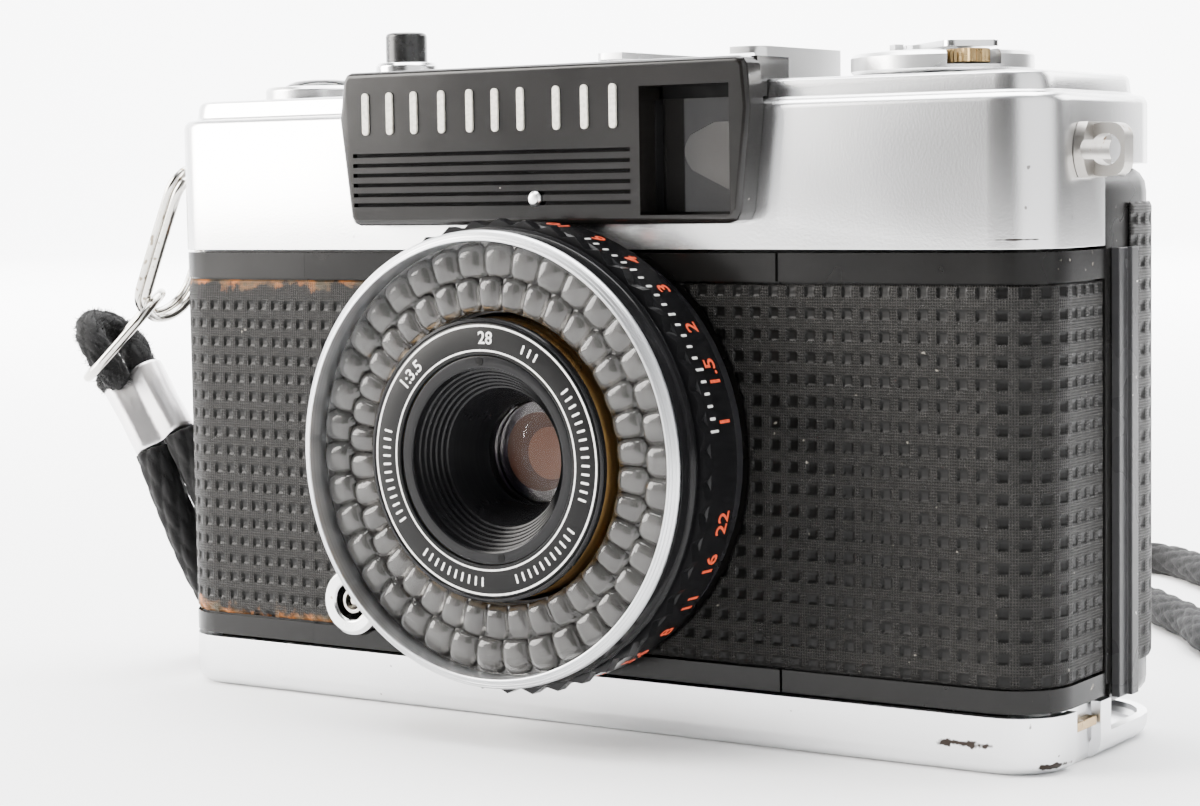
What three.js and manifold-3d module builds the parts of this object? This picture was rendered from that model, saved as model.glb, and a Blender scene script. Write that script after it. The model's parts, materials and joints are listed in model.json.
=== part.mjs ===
// A half-frame 35 mm camera with a light-meter ring round its lens, in millimetres, +Z up.
// Positions inside the model are worked out in "body places": x from the middle of the body,
// y from the front face of the body (the front faces -Y), z from the underside.
import * as THREE from 'three';
import { mergeVertices } from 'three/addons/utils/BufferGeometryUtils.js';
import Module from 'manifold-3d';

const wasm = await Module();
wasm.setup();

// ---- driving dimensions ------------------------------------------------------------------
const BODY_WIDTH = 108;
const BODY_DEPTH = 30.6;
const BODY_HEIGHT = 66;
const HALF_WIDTH = BODY_WIDTH / 2;
const FRONT_RADIUS = 6;
const REAR_RADIUS = 8;
const WALL = 1.0;
const GAP = 0.3;

const COVER_EDGE_Z = 49.4;      // lower edge of the top cover's front wall
const COVER_REAR_Z = 57.2;      // lower edge of its rear wall, above the door
const LEDGE_Z = 63.9;           // step between the two tiers of the cover
const PLATE_EDGE_Z = 5.6;       // upper edge of the bottom plate
const PLATE_REAR_Z = 2.4;       // the same behind the door's lower edge
const LATCH_SPLIT_Y = 13.6;     // where the leather ends and the door begins, on the latch side
const HINGE_SPLIT_Y = 21.7;     // the same on the hinge side
const BAND_HEIGHT = 3.0;

const LENS_X = -0.6;
const LENS_Z = 28.9;
const LENS_FRONT_Y = -13.4;
const FILTER_RADIUS = 21.75;    // 43.5 mm filter thread
const FLANGE_RADIUS = 22.4;
const FLANGE_FRONT_Y = -2.9;
const GRIP_RADIUS = 23.9;
const SCALE_RADIUS = 23.5;
const SCALE_REAR_Y = -3.2;
const SCALE_FRONT_Y = -8.0;
const GRIP_FRONT_Y = -9.5;
const GRIP_SCALLOPS = 48;

const FILM_Y = 25.4;            // plane of the film rails
const CHAMBER_Z = [7.5, 51.5];
const CASSETTE_X = 37.6;
const CASSETTE_Y = 14;
const CHAMBER_HALF = 13;
const SPOOL_X = -36.5;
const SPOOL_Y = 13.5;
const SPROCKET = [-19, 22.3];
const REWIND = [36.7, 14];
const REWIND_LIFT = 9;
const CRANK_ANGLE = THREE.MathUtils.degToRad(-43);
const BUTTON = [-28.2, 12];
const COUNTER = [-40.3, 12];
const WHEEL = [-40, 22.6];
const WHEEL_RADIUS = 10.2;
const SHOE_X = 8.2;
const SHOE_Y = [10, 27.5];
const FINDER_X = [12, 22.3];
const FINDER_Z = [52.9, 65.6];
const PC_SOCKET = [-27.2, 11.3];
const SOCKET = [LENS_X, 15];
const RELEASE = [-22, 8];
const LUG = { y: 9.35, z: 58.5, reach: 4.1 };
const HINGE = [-53.1, HINGE_SPLIT_Y + 1.4];
const FRAME_SHIFT_Y = -(LENS_FRONT_Y + WHEEL[1] + WHEEL_RADIUS) / 2;

// ---- finishes ----------------------------------------------------------------------------
const finish = (color, roughness, metalness) =>
  new THREE.MeshStandardMaterial({ color, roughness, metalness });
const satinSilver = finish(0xc9cacb, 0.38, 1);
const chrome = finish(0xdcdee0, 0.12, 1);
const blackPaint = finish(0x0f0f10, 0.3, 0);
const blackEnamel = finish(0x1a1a1b, 0.35, 0);
const blackAnodised = finish(0x141416, 0.45, 0.4);
const greyMetal = finish(0x6f7072, 0.4, 0.9);
const brass = finish(0xa5813f, 0.35, 1);
const leather = finish(0x1c1b1b, 0.7, 0);
const darkGlass = finish(0x151a22, 0.05, 0);
const clearPlastic = finish(0xb9bcbc, 0.1, 0);
const castMetal = finish(0x38393b, 0.6, 0.7);
const cordBlack = finish(0x131314, 0.9, 0);

// ---- solids ------------------------------------------------------------------------------
function solid(geometry) {
  const bare = geometry.clone();
  bare.deleteAttribute('normal');
  bare.deleteAttribute('uv');
  const merged = mergeVertices(bare, 1e-4);
  const points = Float32Array.from(merged.attributes.position.array);
  const kept = [];
  const source = merged.index.array;
  for (let i = 0; i < source.length; i += 3) {
    const [a, b, c] = [source[i], source[i + 1], source[i + 2]];
    if (a !== b && b !== c && c !== a) kept.push(a, b, c);
  }
  const corner = (i) => new THREE.Vector3().fromArray(points, 3 * i);
  let volume = 0;
  for (let i = 0; i < kept.length; i += 3) {
    volume += corner(kept[i]).dot(corner(kept[i + 1]).cross(corner(kept[i + 2])));
  }
  if (volume < 0) kept.reverse();
  const mesh = new wasm.Mesh({
    numProp: 3,
    vertProperties: points,
    triVerts: Uint32Array.from(kept),
  });
  return new wasm.Manifold(mesh);
}

function surface(shape) {
  const mesh = shape.getMesh();
  const geometry = new THREE.BufferGeometry();
  geometry.setAttribute('position', new THREE.BufferAttribute(mesh.vertProperties, 3));
  geometry.setIndex(new THREE.BufferAttribute(mesh.triVerts, 1));
  geometry.computeVertexNormals();
  return geometry;
}

const join = (...shapes) => shapes.reduce((total, shape) => total.add(shape));
const cut = (body, ...tools) => tools.reduce((rest, tool) => rest.subtract(tool), body);

function box([x0, x1], [y0, y1], [z0, z1]) {
  const geometry = new THREE.BoxGeometry(x1 - x0, y1 - y0, z1 - z0);
  return solid(geometry.translate((x0 + x1) / 2, (y0 + y1) / 2, (z0 + z1) / 2));
}

// A closed solid through outlines of equal length, one above the other.
function loft(levels) {
  const count = levels[0].outline.length;
  const points = levels.flatMap(({ outline, z }) => outline.flatMap(([x, y]) => [x, y, z]));
  const faces = [];
  for (let level = 0; level < levels.length - 1; level += 1) {
    for (let i = 0; i < count; i += 1) {
      const a = level * count + i;
      const b = level * count + ((i + 1) % count);
      faces.push(a, b, b + count, a, b + count, a + count);
    }
  }
  const flat = levels[0].outline.map(([x, y]) => new THREE.Vector2(x, y));
  const top = (levels.length - 1) * count;
  for (const [a, b, c] of THREE.ShapeUtils.triangulateShape(flat, [])) {
    faces.push(c, b, a, top + a, top + b, top + c);
  }
  const geometry = new THREE.BufferGeometry();
  geometry.setAttribute('position', new THREE.Float32BufferAttribute(points, 3));
  geometry.setIndex(faces);
  return solid(geometry);
}

// Rectangle with rounded corners, anticlockwise; its front corners and rear corners differ.
function roundedRect([x0, x1], [y0, y1], frontRadius, rearRadius = frontRadius, steps = 6) {
  const corners = [
    [x1 - frontRadius, y0 + frontRadius, frontRadius, -90],
    [x1 - rearRadius, y1 - rearRadius, rearRadius, 0],
    [x0 + rearRadius, y1 - rearRadius, rearRadius, 90],
    [x0 + frontRadius, y0 + frontRadius, frontRadius, 180],
  ];
  return corners.flatMap(([cx, cy, radius, start]) =>
    Array.from({ length: steps + 1 }, (_, i) => {
      const angle = THREE.MathUtils.degToRad(start + (90 * i) / steps);
      return [cx + radius * Math.cos(angle), cy + radius * Math.sin(angle)];
    }));
}

const bodyOutline = (inset) => roundedRect(
  [-HALF_WIDTH + inset, HALF_WIDTH - inset],
  [inset, BODY_DEPTH - inset],
  Math.max(FRONT_RADIUS - inset, 0.6),
  Math.max(REAR_RADIUS - inset, 0.6));

const bodyPrism = (inset, z0, z1) => loft([
  { outline: bodyOutline(inset), z: z0 },
  { outline: bodyOutline(inset), z: z1 },
]);

const bodyShape = (levels) => loft(levels.map(([z, inset]) => ({ outline: bodyOutline(inset), z })));

// Round outline with ribs: its points step between two radii.
const knurled = ([cx, cy], radius, depth, count) => Array.from({ length: count * 2 }, (_, i) => {
  const angle = (Math.PI * i) / count;
  const reach = i % 2 ? radius - depth : radius;
  return [cx + reach * Math.cos(angle), cy + reach * Math.sin(angle)];
});

// Turned solids: profile points are [radius, place along the axis].
function turned(profile, segments) {
  const points = profile.map(([radius, along]) => new THREE.Vector2(radius, along));
  const closed = profile[0][0] > 0 || profile.at(-1)[0] > 0;
  if (closed) points.push(points[0].clone());
  return new THREE.LatheGeometry(points, segments);
}

const turnedAboutLens = (profile, segments = 72) =>
  solid(turned(profile, segments).translate(LENS_X, 0, LENS_Z));

const turnedAlongY = ([x, z], profile, segments = 32) =>
  solid(turned(profile, segments).translate(x, 0, z));

const turnedUpright = ([x, y], profile, segments = 40) =>
  solid(turned(profile, segments).rotateX(Math.PI / 2).translate(x, y, 0));

const drum = (place, radius, z0, z1, segments = 40) =>
  turnedUpright(place, [[0, z0], [radius, z0], [radius, z1], [0, z1]], segments);

const ring = (inner, outer, y0, y1) => [[inner, y0], [outer, y0], [outer, y1], [inner, y1]];

const lensDrum = (radius, y0, y1, segments = 72) =>
  turnedAboutLens([[0, y0], [radius, y0], [radius, y1], [0, y1]], segments);

function extrudeUp(outline, z0, z1, holes = []) {
  const shape = new THREE.Shape(outline.map(([x, y]) => new THREE.Vector2(x, y)));
  shape.holes = holes.map((hole) => new THREE.Path(hole.map(([x, y]) => new THREE.Vector2(x, y))));
  const geometry = new THREE.ExtrudeGeometry(shape, { depth: z1 - z0, bevelEnabled: false });
  return geometry.translate(0, 0, z0);
}

// An outline drawn in the X-Z plane, given a thickness from y0 back to y1.
function extrudeBack(outline, y0, y1) {
  const geometry = extrudeUp(outline, 0, y1 - y0);
  return solid(geometry.rotateX(Math.PI / 2).translate(0, y1, 0));
}

function cordAlong(points, radius, sides, steps) {
  const curve = new THREE.CatmullRomCurve3(points, false, 'centripetal');
  const section = new THREE.Shape(Array.from({ length: sides }, (_, i) => {
    const angle = (2 * Math.PI * i) / sides;
    return new THREE.Vector2(radius * Math.cos(angle), radius * Math.sin(angle));
  }));
  return solid(new THREE.ExtrudeGeometry(section, { steps, extrudePath: curve, bevelEnabled: false }));
}

const model = new THREE.Group();
model.position.y = FRAME_SHIFT_Y;

function add(name, shape, material) {
  const mesh = new THREE.Mesh(surface(shape), material);
  mesh.name = name;
  model.add(mesh);
}

// ---- body casting, covers and leather -----------------------------------------------------
const PANEL_X = [-33.6, 25.7];
const SIDE_CUT_X = HALF_WIDTH - 2.2;
const behindSplit = (z0, z1, lap = 0) => join(
  box([0, 60], [LATCH_SPLIT_Y + lap, 40], [z0, z1]),
  box([-60, 0.1], [HINGE_SPLIT_Y + lap, 40], [z0, z1]));

function chassis() {
  const main = bodyPrism(0.6, 6, 49.1);
  const upper = bodyPrism(1.8, 49.0, 52.8);
  const lower = box([-49, 49], [2.2, 22], [1.6, 6.1]);
  const lowBand = bodyPrism(0.05, 6, PLATE_EDGE_Z + BAND_HEIGHT - 0.4);
  const highBand = bodyPrism(0.05, 49.3 - BAND_HEIGHT, 49.1);
  const bands = cut(join(lowBand, highBand), behindSplit(0, 60));
  const sideSteps = [
    box([SIDE_CUT_X, 60], [LATCH_SPLIT_Y, 40], [0, 60]),
    box([-60, -SIDE_CUT_X], [HINGE_SPLIT_Y, 40], [0, 60]),
  ];
  const rearCut = box([-60, 60], [FILM_Y, 40], [0, 60]);
  const panelSeat = box([PANEL_X[0] - 0.1, PANEL_X[1] + 0.1], [-1, 0.95], [5.9, 49.2]);
  const cassette = box(
    [CASSETTE_X - CHAMBER_HALF, CASSETTE_X + CHAMBER_HALF], [CASSETTE_Y - 11, 30], CHAMBER_Z);
  const takeUp = box([SPOOL_X - 12.5, SPOOL_X + 12.5], [2.6, 30], CHAMBER_Z);
  const sprocketPocket = join(
    drum(SPROCKET, 4.4, 8, 50.6, 24),
    box([SPROCKET[0] - 4.4, SPROCKET[0] + 4.4], [SPROCKET[1], 30], [8, 50.6]));
  const shutterWell = lensDrum(17.4, -1, 9.6, 48);
  const tunnel = box([LENS_X - 9, LENS_X + 9], [9, 30], [LENS_Z - 12, LENS_Z + 12]);
  const forkBore = drum(REWIND, 3.9, 50, 54, 24);
  const spoolBore = drum([SPOOL_X, SPOOL_Y], 1.8, 5, 54, 20);
  const wheelBore = drum(WHEEL, 2.3, 51, 54, 20);
  const releaseBore = drum(RELEASE, 1.75, 1, 3.2, 20);
  const pcBore = turnedAlongY(PC_SOCKET, [[0, -1], [2.6, -1], [2.6, 2.2], [0, 2.2]], 24);
  const knuckles = [[6.5, 11.4], [43.6, 48.8]].map(([z0, z1]) =>
    join(drum(HINGE, 1.2, z0, z1, 20), box([-52.9, -50], [HINGE_SPLIT_Y - 1, HINGE[1] + 1.2], [z0, z1])));
  const rails = [[10.4, 11.4], [46.4, 47.4]].map((z) => box([-13.5, 20], [FILM_Y - 0.2, FILM_Y + 0.25], z));
  const pinBore = drum(HINGE, 0.85, 5, 50, 20);
  const casting = cut(join(main, upper, lower, bands), ...sideSteps, rearCut, panelSeat, cassette,
    takeUp, sprocketPocket, shutterWell, tunnel, forkBore, spoolBore, wheelBore, releaseBore, pcBore);
  return cut(join(casting, ...knuckles, ...rails), pinBore);
}

function topCover() {
  const outer = bodyShape([
    [COVER_EDGE_Z, 0], [LEDGE_Z - 0.9, 0], [LEDGE_Z - 0.5, 0.12], [LEDGE_Z - 0.15, 0.42],
    [LEDGE_Z, 0.85], [LEDGE_Z + 0.05, 1.35], [LEDGE_Z + 0.25, 1.6], [BODY_HEIGHT - 0.7, 1.75],
    [BODY_HEIGHT - 0.25, 1.95], [BODY_HEIGHT - 0.05, 2.3], [BODY_HEIGHT, 2.8],
  ]);
  const inner = bodyShape([
    [COVER_EDGE_Z - 1, WALL], [LEDGE_Z - 1.2, WALL], [LEDGE_Z - 0.8, 2.7], [BODY_HEIGHT - 1.1, 2.9],
  ]);
  const rearOpen = behindSplit(40, COVER_REAR_Z);
  const finderPort = box([FINDER_X[0] - 0.4, FINDER_X[1] + 0.4], [-1, 3], [FINDER_Z[0] - 0.4, 64.6]);
  const eyePort = box([12.2, 22], [25, 32], [58.8, 63.6]);
  const wheelSlot = box([-47.8, -32.2], [26, 32], [58.2, 62]);
  const counterPort = drum(COUNTER, 4.3, 60, 70, 32);
  const buttonPort = drum(BUTTON, 1.5, 60, 70, 24);
  const rewindPort = drum(REWIND, 2.7, 60, 70, 24);
  return cut(outer, inner, rearOpen, finderPort, eyePort, wheelSlot, counterPort, buttonPort, rewindPort);
}

const NOTCH_Y = [6.8, 12.4];
const DOOR_LAP = 1.3;
function bottomPlate() {
  const outer = bodyShape([[0, 1.5], [0.2, 0.85], [0.6, 0.35], [1.2, 0.08], [2, 0], [PLATE_EDGE_Z, 0]]);
  const inner = bodyShape([[1.3, 1.4], [1.8, WALL], [PLATE_EDGE_Z + 1, WALL]]);
  const rearOpen = behindSplit(PLATE_REAR_Z, 9, DOOR_LAP);
  const notch = box([HALF_WIDTH - 1.3, 60], NOTCH_Y, [-1, 9]);
  const notchWall = box([HALF_WIDTH - 2.4, HALF_WIDTH - 1.25], [NOTCH_Y[0] - 0.8, NOTCH_Y[1] + 0.8],
    [0.6, PLATE_EDGE_Z]);
  const socketPort = drum(SOCKET, 5.1, -1, 3, 32);
  const buttonPort = drum(RELEASE, 1.7, -1, 3, 24);
  return cut(join(cut(outer, inner, rearOpen, notch), notchWall), socketPort, buttonPort);
}

function frontPanel() {
  const [x0, x1] = [PANEL_X[0] + 0.05, PANEL_X[1] - 0.05];
  const web = box([x0, x1], [0.62, 0.92], [6, 49.1]);
  const lowBand = box([x0 + 0.02, x1 - 0.02], [-0.15, 0.8], [6.02, PLATE_EDGE_Z + BAND_HEIGHT - 0.4]);
  const highBand = box([x0 + 0.02, x1 - 0.02], [-0.15, 0.8], [49.3 - BAND_HEIGHT, 49.08]);
  const flangeSeat = lensDrum(FLANGE_RADIUS + 0.6, -2, 0.35, 64);
  const lensPort = lensDrum(17.4, 0.1, 2, 48);
  const pcPort = turnedAlongY(PC_SOCKET, [[0, -1], [3.9, -1], [3.9, 2], [0, 2]], 32);
  return cut(join(web, cut(lowBand, flangeSeat), cut(highBand, flangeSeat)), lensPort, pcPort);
}

function leatherPanel(side) {
  const sheet = bodyPrism(0.12, PLATE_EDGE_Z + BAND_HEIGHT - 0.25, 49.3 - BAND_HEIGHT - 0.15);
  const core = bodyPrism(0.57, 0, 60);
  const half = side > 0 ? box([-60, LENS_X], [-5, 40], [0, 60]) : box([LENS_X, 60], [-5, 40], [0, 60]);
  const lensPort = lensDrum(FLANGE_RADIUS + GAP, -2, 2, 72);
  const pcPort = turnedAlongY(PC_SOCKET, [[0, -1], [4.0, -1], [4.0, 2], [0, 2]], 32);
  return cut(sheet, core, half, behindSplit(0, 60), lensPort, pcPort);
}

add('chassis', chassis(), castMetal);
add('top_cover', topCover(), satinSilver);
add('bottom_plate', bottomPlate(), satinSilver);
add('front_panel', frontPanel(), blackPaint);
add('leatherette_right', leatherPanel(1), leather);
add('leatherette_left', leatherPanel(-1), leather);

// ---- viewfinder hood, windows and eyepiece ------------------------------------------------
const HOOD_FRONT_Y = -3;
const HOOD_SEAT_Y = -0.05;
const HOOD_TOP_Z = 68.2;
const HOOD_REAR_Y = 6;

function hood() {
  const outline = [
    [-24.7, 52.9], [-24.3, 52.2], [-23.6, 52.0], [21.9, 52.0], [22.9, 52.3], [23.4, 53.2],
    [24.5, 63.2], [24.1, 67.4], [23.7, 68.0], [23.1, HOOD_TOP_Z], [-24.4, HOOD_TOP_Z],
    [-25.0, 68.0], [-25.4, 67.4], [-26.0, 63.2],
  ];
  const plate = extrudeBack(outline, HOOD_FRONT_Y, HOOD_SEAT_Y);
  const filler = box([-25.4, 24.0], [HOOD_SEAT_Y - 0.1, 1.55], [LEDGE_Z + 0.4, 67]);
  const cap = box([-24.6, 23.9], [HOOD_SEAT_Y - 0.1, HOOD_REAR_Y], [BODY_HEIGHT + 0.08, HOOD_TOP_Z]);
  const recess = box(FINDER_X, [-5, 2.2], FINDER_Z);
  const grooves = Array.from({ length: 6 }, (_, i) =>
    box([-24.1, 10.9], [-4, HOOD_FRONT_Y + 0.35], [54.0 + 1.04 * i, 54.42 + 1.04 * i]));
  const studSeat = turnedAlongY([LENS_X, 54.65], [[0, -4], [0.6, -4], [0.6, -2.4], [0, -2.4]], 16);
  return cut(join(plate, cut(filler, box([-60, 60], [1.5, 3], [60, 66.1])), cap), recess, ...grooves,
    studSeat);
}
const stud = turnedAlongY([LENS_X, 54.65],
  [[0, -3.55], [0.55, -3.45], [0.78, -3.2], [0.8, -3.02], [0.5, -3.02], [0.5, -2.45], [0, -2.45]], 20);
const eyepiece = cut(
  box([12.5, 21.7], [28.0, 32.4], [59.1, 63.3]),
  box([13.6, 20.6], [27, 33], [59.9, 62.5]));
add('viewfinder_hood', hood(), blackPaint);
add('index_stud', stud, chrome);
add('viewfinder_window', box([12.1, 22.2], [1.0, 1.6], [53.0, 64.5]), darkGlass);
add('eyepiece_frame', eyepiece, blackEnamel);
add('eyepiece_glass', box([13.65, 20.55], [30.6, 31.4], [59.95, 62.45]), darkGlass);

// ---- top deck: accessory shoe, button, counter and rewind ---------------------------------
const DECK = BODY_HEIGHT + 0.08;
function shoe() {
  const [y0, y1] = SHOE_Y;
  const half = 10.3;
  const blockOutline = roundedRect([SHOE_X - half, SHOE_X + half], [y0, y1], 1.6, 1.0, 4);
  const block = solid(extrudeUp(blockOutline, DECK, DECK + 3.7));
  const channel = box([SHOE_X - 9.35, SHOE_X + 9.35], [y0 - 1, y1 + 1], [DECK + 0.9, DECK + 2.95]);
  const mouth = box([SHOE_X - 6.5, SHOE_X + 6.5], [y0 - 1, y1 + 1], [DECK + 2.8, DECK + 5]);
  const contactSeat = drum([SHOE_X, 19], 2.3, DECK + 0.5, DECK + 2, 24);
  return cut(block, channel, mouth, contactSeat);
}
add('accessory_shoe', shoe(), satinSilver);
add('shoe_contact', drum([SHOE_X, 19], 2.0, DECK + 0.55, DECK + 1.4, 24), chrome);
add('button_collar', turnedUpright(BUTTON,
  [[2.6, DECK], [3.45, DECK], [3.45, 69.4], [3.15, 69.8], [2.6, 69.8]], 32), satinSilver);
add('shutter_button', turnedUpright(BUTTON,
  [[0, 61], [1.2, 61], [1.2, 67.6], [2.3, 67.6], [2.3, 72.8], [2.05, 73.1], [0, 73.1]], 32), blackEnamel);
add('counter_bezel', turnedUpright(COUNTER,
  [[4.5, DECK], [6.5, DECK], [6.5, 67.1], [6.2, 67.5], [4.5, 67.6]], 40), satinSilver);
add('counter_glass', turnedUpright(COUNTER,
  [[0, 66.6], [4.2, 66.6], [4.2, 67.7], [3.6, 68.1], [2.2, 68.35], [0, 68.4]], 32), clearPlastic);
add('counter_dial', turnedUpright(COUNTER,
  [[0, 62.9], [1, 62.9], [1, 63.9], [4.9, 63.9], [4.9, 64.4], [0, 64.4]], 32), satinSilver);

const crankDirection = [Math.cos(CRANK_ANGLE), Math.sin(CRANK_ANGLE)];
const alongCrank = (reach) => [
  REWIND[0] + reach * crankDirection[0],
  REWIND[1] + reach * crankDirection[1],
];
const GRIP_REACH = 7.0;
const PIVOT_REACH = -3.2;
const DISC_TOP = 68.4;
const PIVOT_Z = DISC_TOP + 0.5;
const inCrankFrame = (geometry) => solid(
  geometry.rotateZ(CRANK_ANGLE).translate(REWIND[0], REWIND[1], 0));

function rewindKnob() {
  const disc = turnedUpright(REWIND,
    [[0, 66.3], [8.7, 66.3], [9, 66.6], [9, 67.9], [8.7, 68.25], [8.1, DISC_TOP], [0, DISC_TOP]], 56);
  const gripSeat = drum(alongCrank(GRIP_REACH), 2.75, 66.9, 70, 28);
  const rimNotch = new THREE.BoxGeometry(6, 5.5, 4).translate(10, 0, 68.9);
  const shaft = drum(REWIND, 2.0, 56, 66.4, 24);
  const ears = [-1, 1].map((side) =>
    inCrankFrame(new THREE.BoxGeometry(1.6, 0.9, 1.1).translate(PIVOT_REACH, side * 3.6, PIVOT_Z - 0.1)));
  return cut(join(cut(disc, gripSeat, inCrankFrame(rimNotch)), shaft, ...ears));
}

function crankArm() {
  const start = PIVOT_REACH;
  const length = GRIP_REACH - PIVOT_REACH;
  const plate = roundedRect([start - 0.25, start + length + 1.6], [-2.8, 2.8], 1.1, 1.1, 4);
  const arm = inCrankFrame(extrudeUp(plate, DISC_TOP + 0.2, DISC_TOP + 0.8));
  const barrel = inCrankFrame(
    new THREE.CylinderGeometry(0.4, 0.4, 5.5, 18).translate(start, 0, PIVOT_Z));
  return join(arm, barrel);
}

function crankGrip() {
  const [x, y] = alongCrank(GRIP_REACH);
  const outline = knurled([0, 0], 2.1, 0.18, 24);
  return solid(extrudeUp(outline, 67.1, DISC_TOP + 0.0).translate(x, y, 0));
}

function rewindShaft() {
  const rod = drum(REWIND, 1.9, 46.5, 55.7, 24);
  const fork = box([REWIND[0] - 0.6, REWIND[0] + 0.6], [REWIND[1] - 3, REWIND[1] + 3], [44.5, 50]);
  return join(rod, fork);
}
add('rewind_knob', rewindKnob(), satinSilver);
add('rewind_fork', rewindShaft(), brass);
add('rewind_collar', turnedUpright(REWIND,
  [[2.3, 54.0], [3.7, 54.0], [3.7, 55.4], [2.3, 55.4]], 28), brass);
add('rewind_crank', crankArm(), chrome);
add('crank_grip', crankGrip(), brass);

// ---- film transport -----------------------------------------------------------------------
function advanceWheel() {
  const wheel = solid(extrudeUp(knurled(WHEEL, WHEEL_RADIUS, 0.45, 64), 58.6, 61.6));
  const axle = drum(WHEEL, 2.0, 52, 62.4, 24);
  return join(wheel, axle);
}
const spoolProfile = [
  [0, 8], [1.5, 8], [1.5, 9], [9.5, 9], [9.5, 9.9], [6, 9.9], [6, 48.8], [9.5, 48.8], [9.5, 49.7],
  [1.5, 49.7], [1.5, 53], [0, 53],
];
const sprocketProfile = [
  [0, 8.4], [1.6, 8.4], [1.6, 10.2], [3.8, 10.5], [3.8, 12.3], [2.6, 12.8], [2.6, 45], [3.8, 45.5],
  [3.8, 47.3], [1.6, 47.6], [1.6, 50.2], [0, 50.2],
];
add('advance_wheel', advanceWheel(), blackAnodised);
add('takeup_spool', turnedUpright([SPOOL_X, SPOOL_Y], spoolProfile, 28), blackAnodised);
add('film_sprocket', turnedUpright(SPROCKET, sprocketProfile, 24), blackAnodised);

// ---- back door ----------------------------------------------------------------------------
const DOOR_Z = [4.6, 56.9];
const DOOR_SLOT = { y: [15.7, 17.3], z: [24, 30.5] };
function backDoor() {
  const [z0, z1] = DOOR_Z;
  const outer = bodyShape([
    [z0, 1.2], [z0 + 0.3, 0.6], [z0 + 0.9, 0.2], [z0 + 1.6, 0.08],
    [z1 - 2.4, 0.08], [z1 - 1.4, 0.25], [z1 - 0.6, 0.75], [z1 - 0.15, 1.4], [z1, 2.1],
  ]);
  const inner = bodyShape([[z0 + 1, WALL + 0.1], [z1 - 1.2, WALL + 0.1]]);
  const flangeOpening = box([-50, 50], [0, 27], [0, 60]);
  const front = box([-60, 60], [-5, LATCH_SPLIT_Y + GAP], [0, 60]);
  const plateClearance = box([40, 60], [-5, LATCH_SPLIT_Y + DOOR_LAP], [0, 7]);
  const hingeSide = box([-60, -45], [-5, HINGE[1] + 1.6], [0, 60]);
  const shell = cut(outer, inner, flangeOpening, front, plateClearance, hingeSide);
  const knuckle = join(
    drum(HINGE, 1.2, 11.8, 43.2, 20),
    box([-53.5, -52.8], [HINGE[1] + 0.3, HINGE[1] + 2.6], [11.8, 43.2]));
  const latchSlot = box([HALF_WIDTH - 2, 60], DOOR_SLOT.y, DOOR_SLOT.z);
  return cut(join(shell, knuckle), drum(HINGE, 0.85, 5, 50, 20), latchSlot);
}

function doorLeather() {
  const sheet = bodyPrism(-0.35, 8.2, 53.6);
  const core = bodyPrism(0.03, 0, 60);
  const front = box([0, 60], [-5, 19.1], [0, 60]);
  const hingeSide = box([-60, 0], [-5, HINGE[1] + 3], [0, 60]);
  return cut(sheet, core, front, hingeSide);
}

function latchBar() {
  const bar = box([HALF_WIDTH - 0.02, HALF_WIDTH + 0.85], [15.0, 18.6], [5.6, COVER_EDGE_Z - 0.2]);
  const ridge = box([HALF_WIDTH + 0.5, HALF_WIDTH + 1.35], [16.9, 18.6], [5.6, COVER_EDGE_Z - 0.2]);
  const tongue = box([HALF_WIDTH - 1.9, HALF_WIDTH + 0.1],
    [DOOR_SLOT.y[0] + 0.3, DOOR_SLOT.y[1] - 0.3], [DOOR_SLOT.z[0] + 2.6, DOOR_SLOT.z[1] - 0.4]);
  return join(bar, ridge, tongue);
}

function pressureSpring() {
  const arch = new THREE.Shape();
  arch.moveTo(-14, 27.35);
  arch.quadraticCurveTo(0, 30.7, 14, 27.35);
  arch.lineTo(14, 27.65);
  arch.quadraticCurveTo(0, 31.0, -14, 27.65);
  arch.closePath();
  const strip = new THREE.ExtrudeGeometry(arch, { depth: 6, bevelEnabled: false, curveSegments: 10 });
  return solid(strip.translate(2, 0, LENS_Z - 3));
}
add('back_door', backDoor(), greyMetal);
add('door_leatherette', doorLeather(), leather);
add('door_latch', latchBar(), greyMetal);
add('pressure_plate', box([-14, 23], [FILM_Y + 0.6, FILM_Y + 1.5], [10, 47.8]), blackAnodised);
add('pressure_spring', pressureSpring(), brass);
add('hinge_pin', drum(HINGE, 0.6, 6.6, 48.6, 20), chrome);
add('latch_catch', box([HALF_WIDTH - 1.25, HALF_WIDTH - 0.25], [NOTCH_Y[0] + 0.2, NOTCH_Y[1] - 0.4],
  [3.4, 4.3]), brass);

// ---- underside ----------------------------------------------------------------------------
add('tripod_socket', turnedUpright(SOCKET,
  [[3.2, 0.05], [4.9, 0.05], [4.9, 1.5], [3.2, 1.5]], 32), chrome);
add('rewind_release', drum(RELEASE, 1.45, 0.3, 1.5, 24), chrome);

// ---- lens and light meter -----------------------------------------------------------------
const BARREL_BORE = 14.5;
const speedRing = [
  [FILTER_RADIUS + 0.05, LENS_FRONT_Y + 0.75], [22.6, LENS_FRONT_Y + 0.75], [22.65, -10.5],
  [23.1, -10.1], [23.1, -9.8], [FILTER_RADIUS + 0.05, -9.8],
];
const filterRing = [
  [FILTER_RADIUS, LENS_FRONT_Y], [22.6, LENS_FRONT_Y], [22.8, LENS_FRONT_Y + 0.2],
  [22.8, LENS_FRONT_Y + 0.6], [FILTER_RADIUS - 0.05, LENS_FRONT_Y + 0.6],
];
const barrel = [
  [BARREL_BORE, -8.6], [20.2, -8.6], [20.5, -8.3], [20.5, FLANGE_FRONT_Y],
  [FLANGE_RADIUS, FLANGE_FRONT_Y], [FLANGE_RADIUS, -0.15], [16.8, -0.15], [16.8, 0.5], [BARREL_BORE, 0.5],
];
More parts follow.
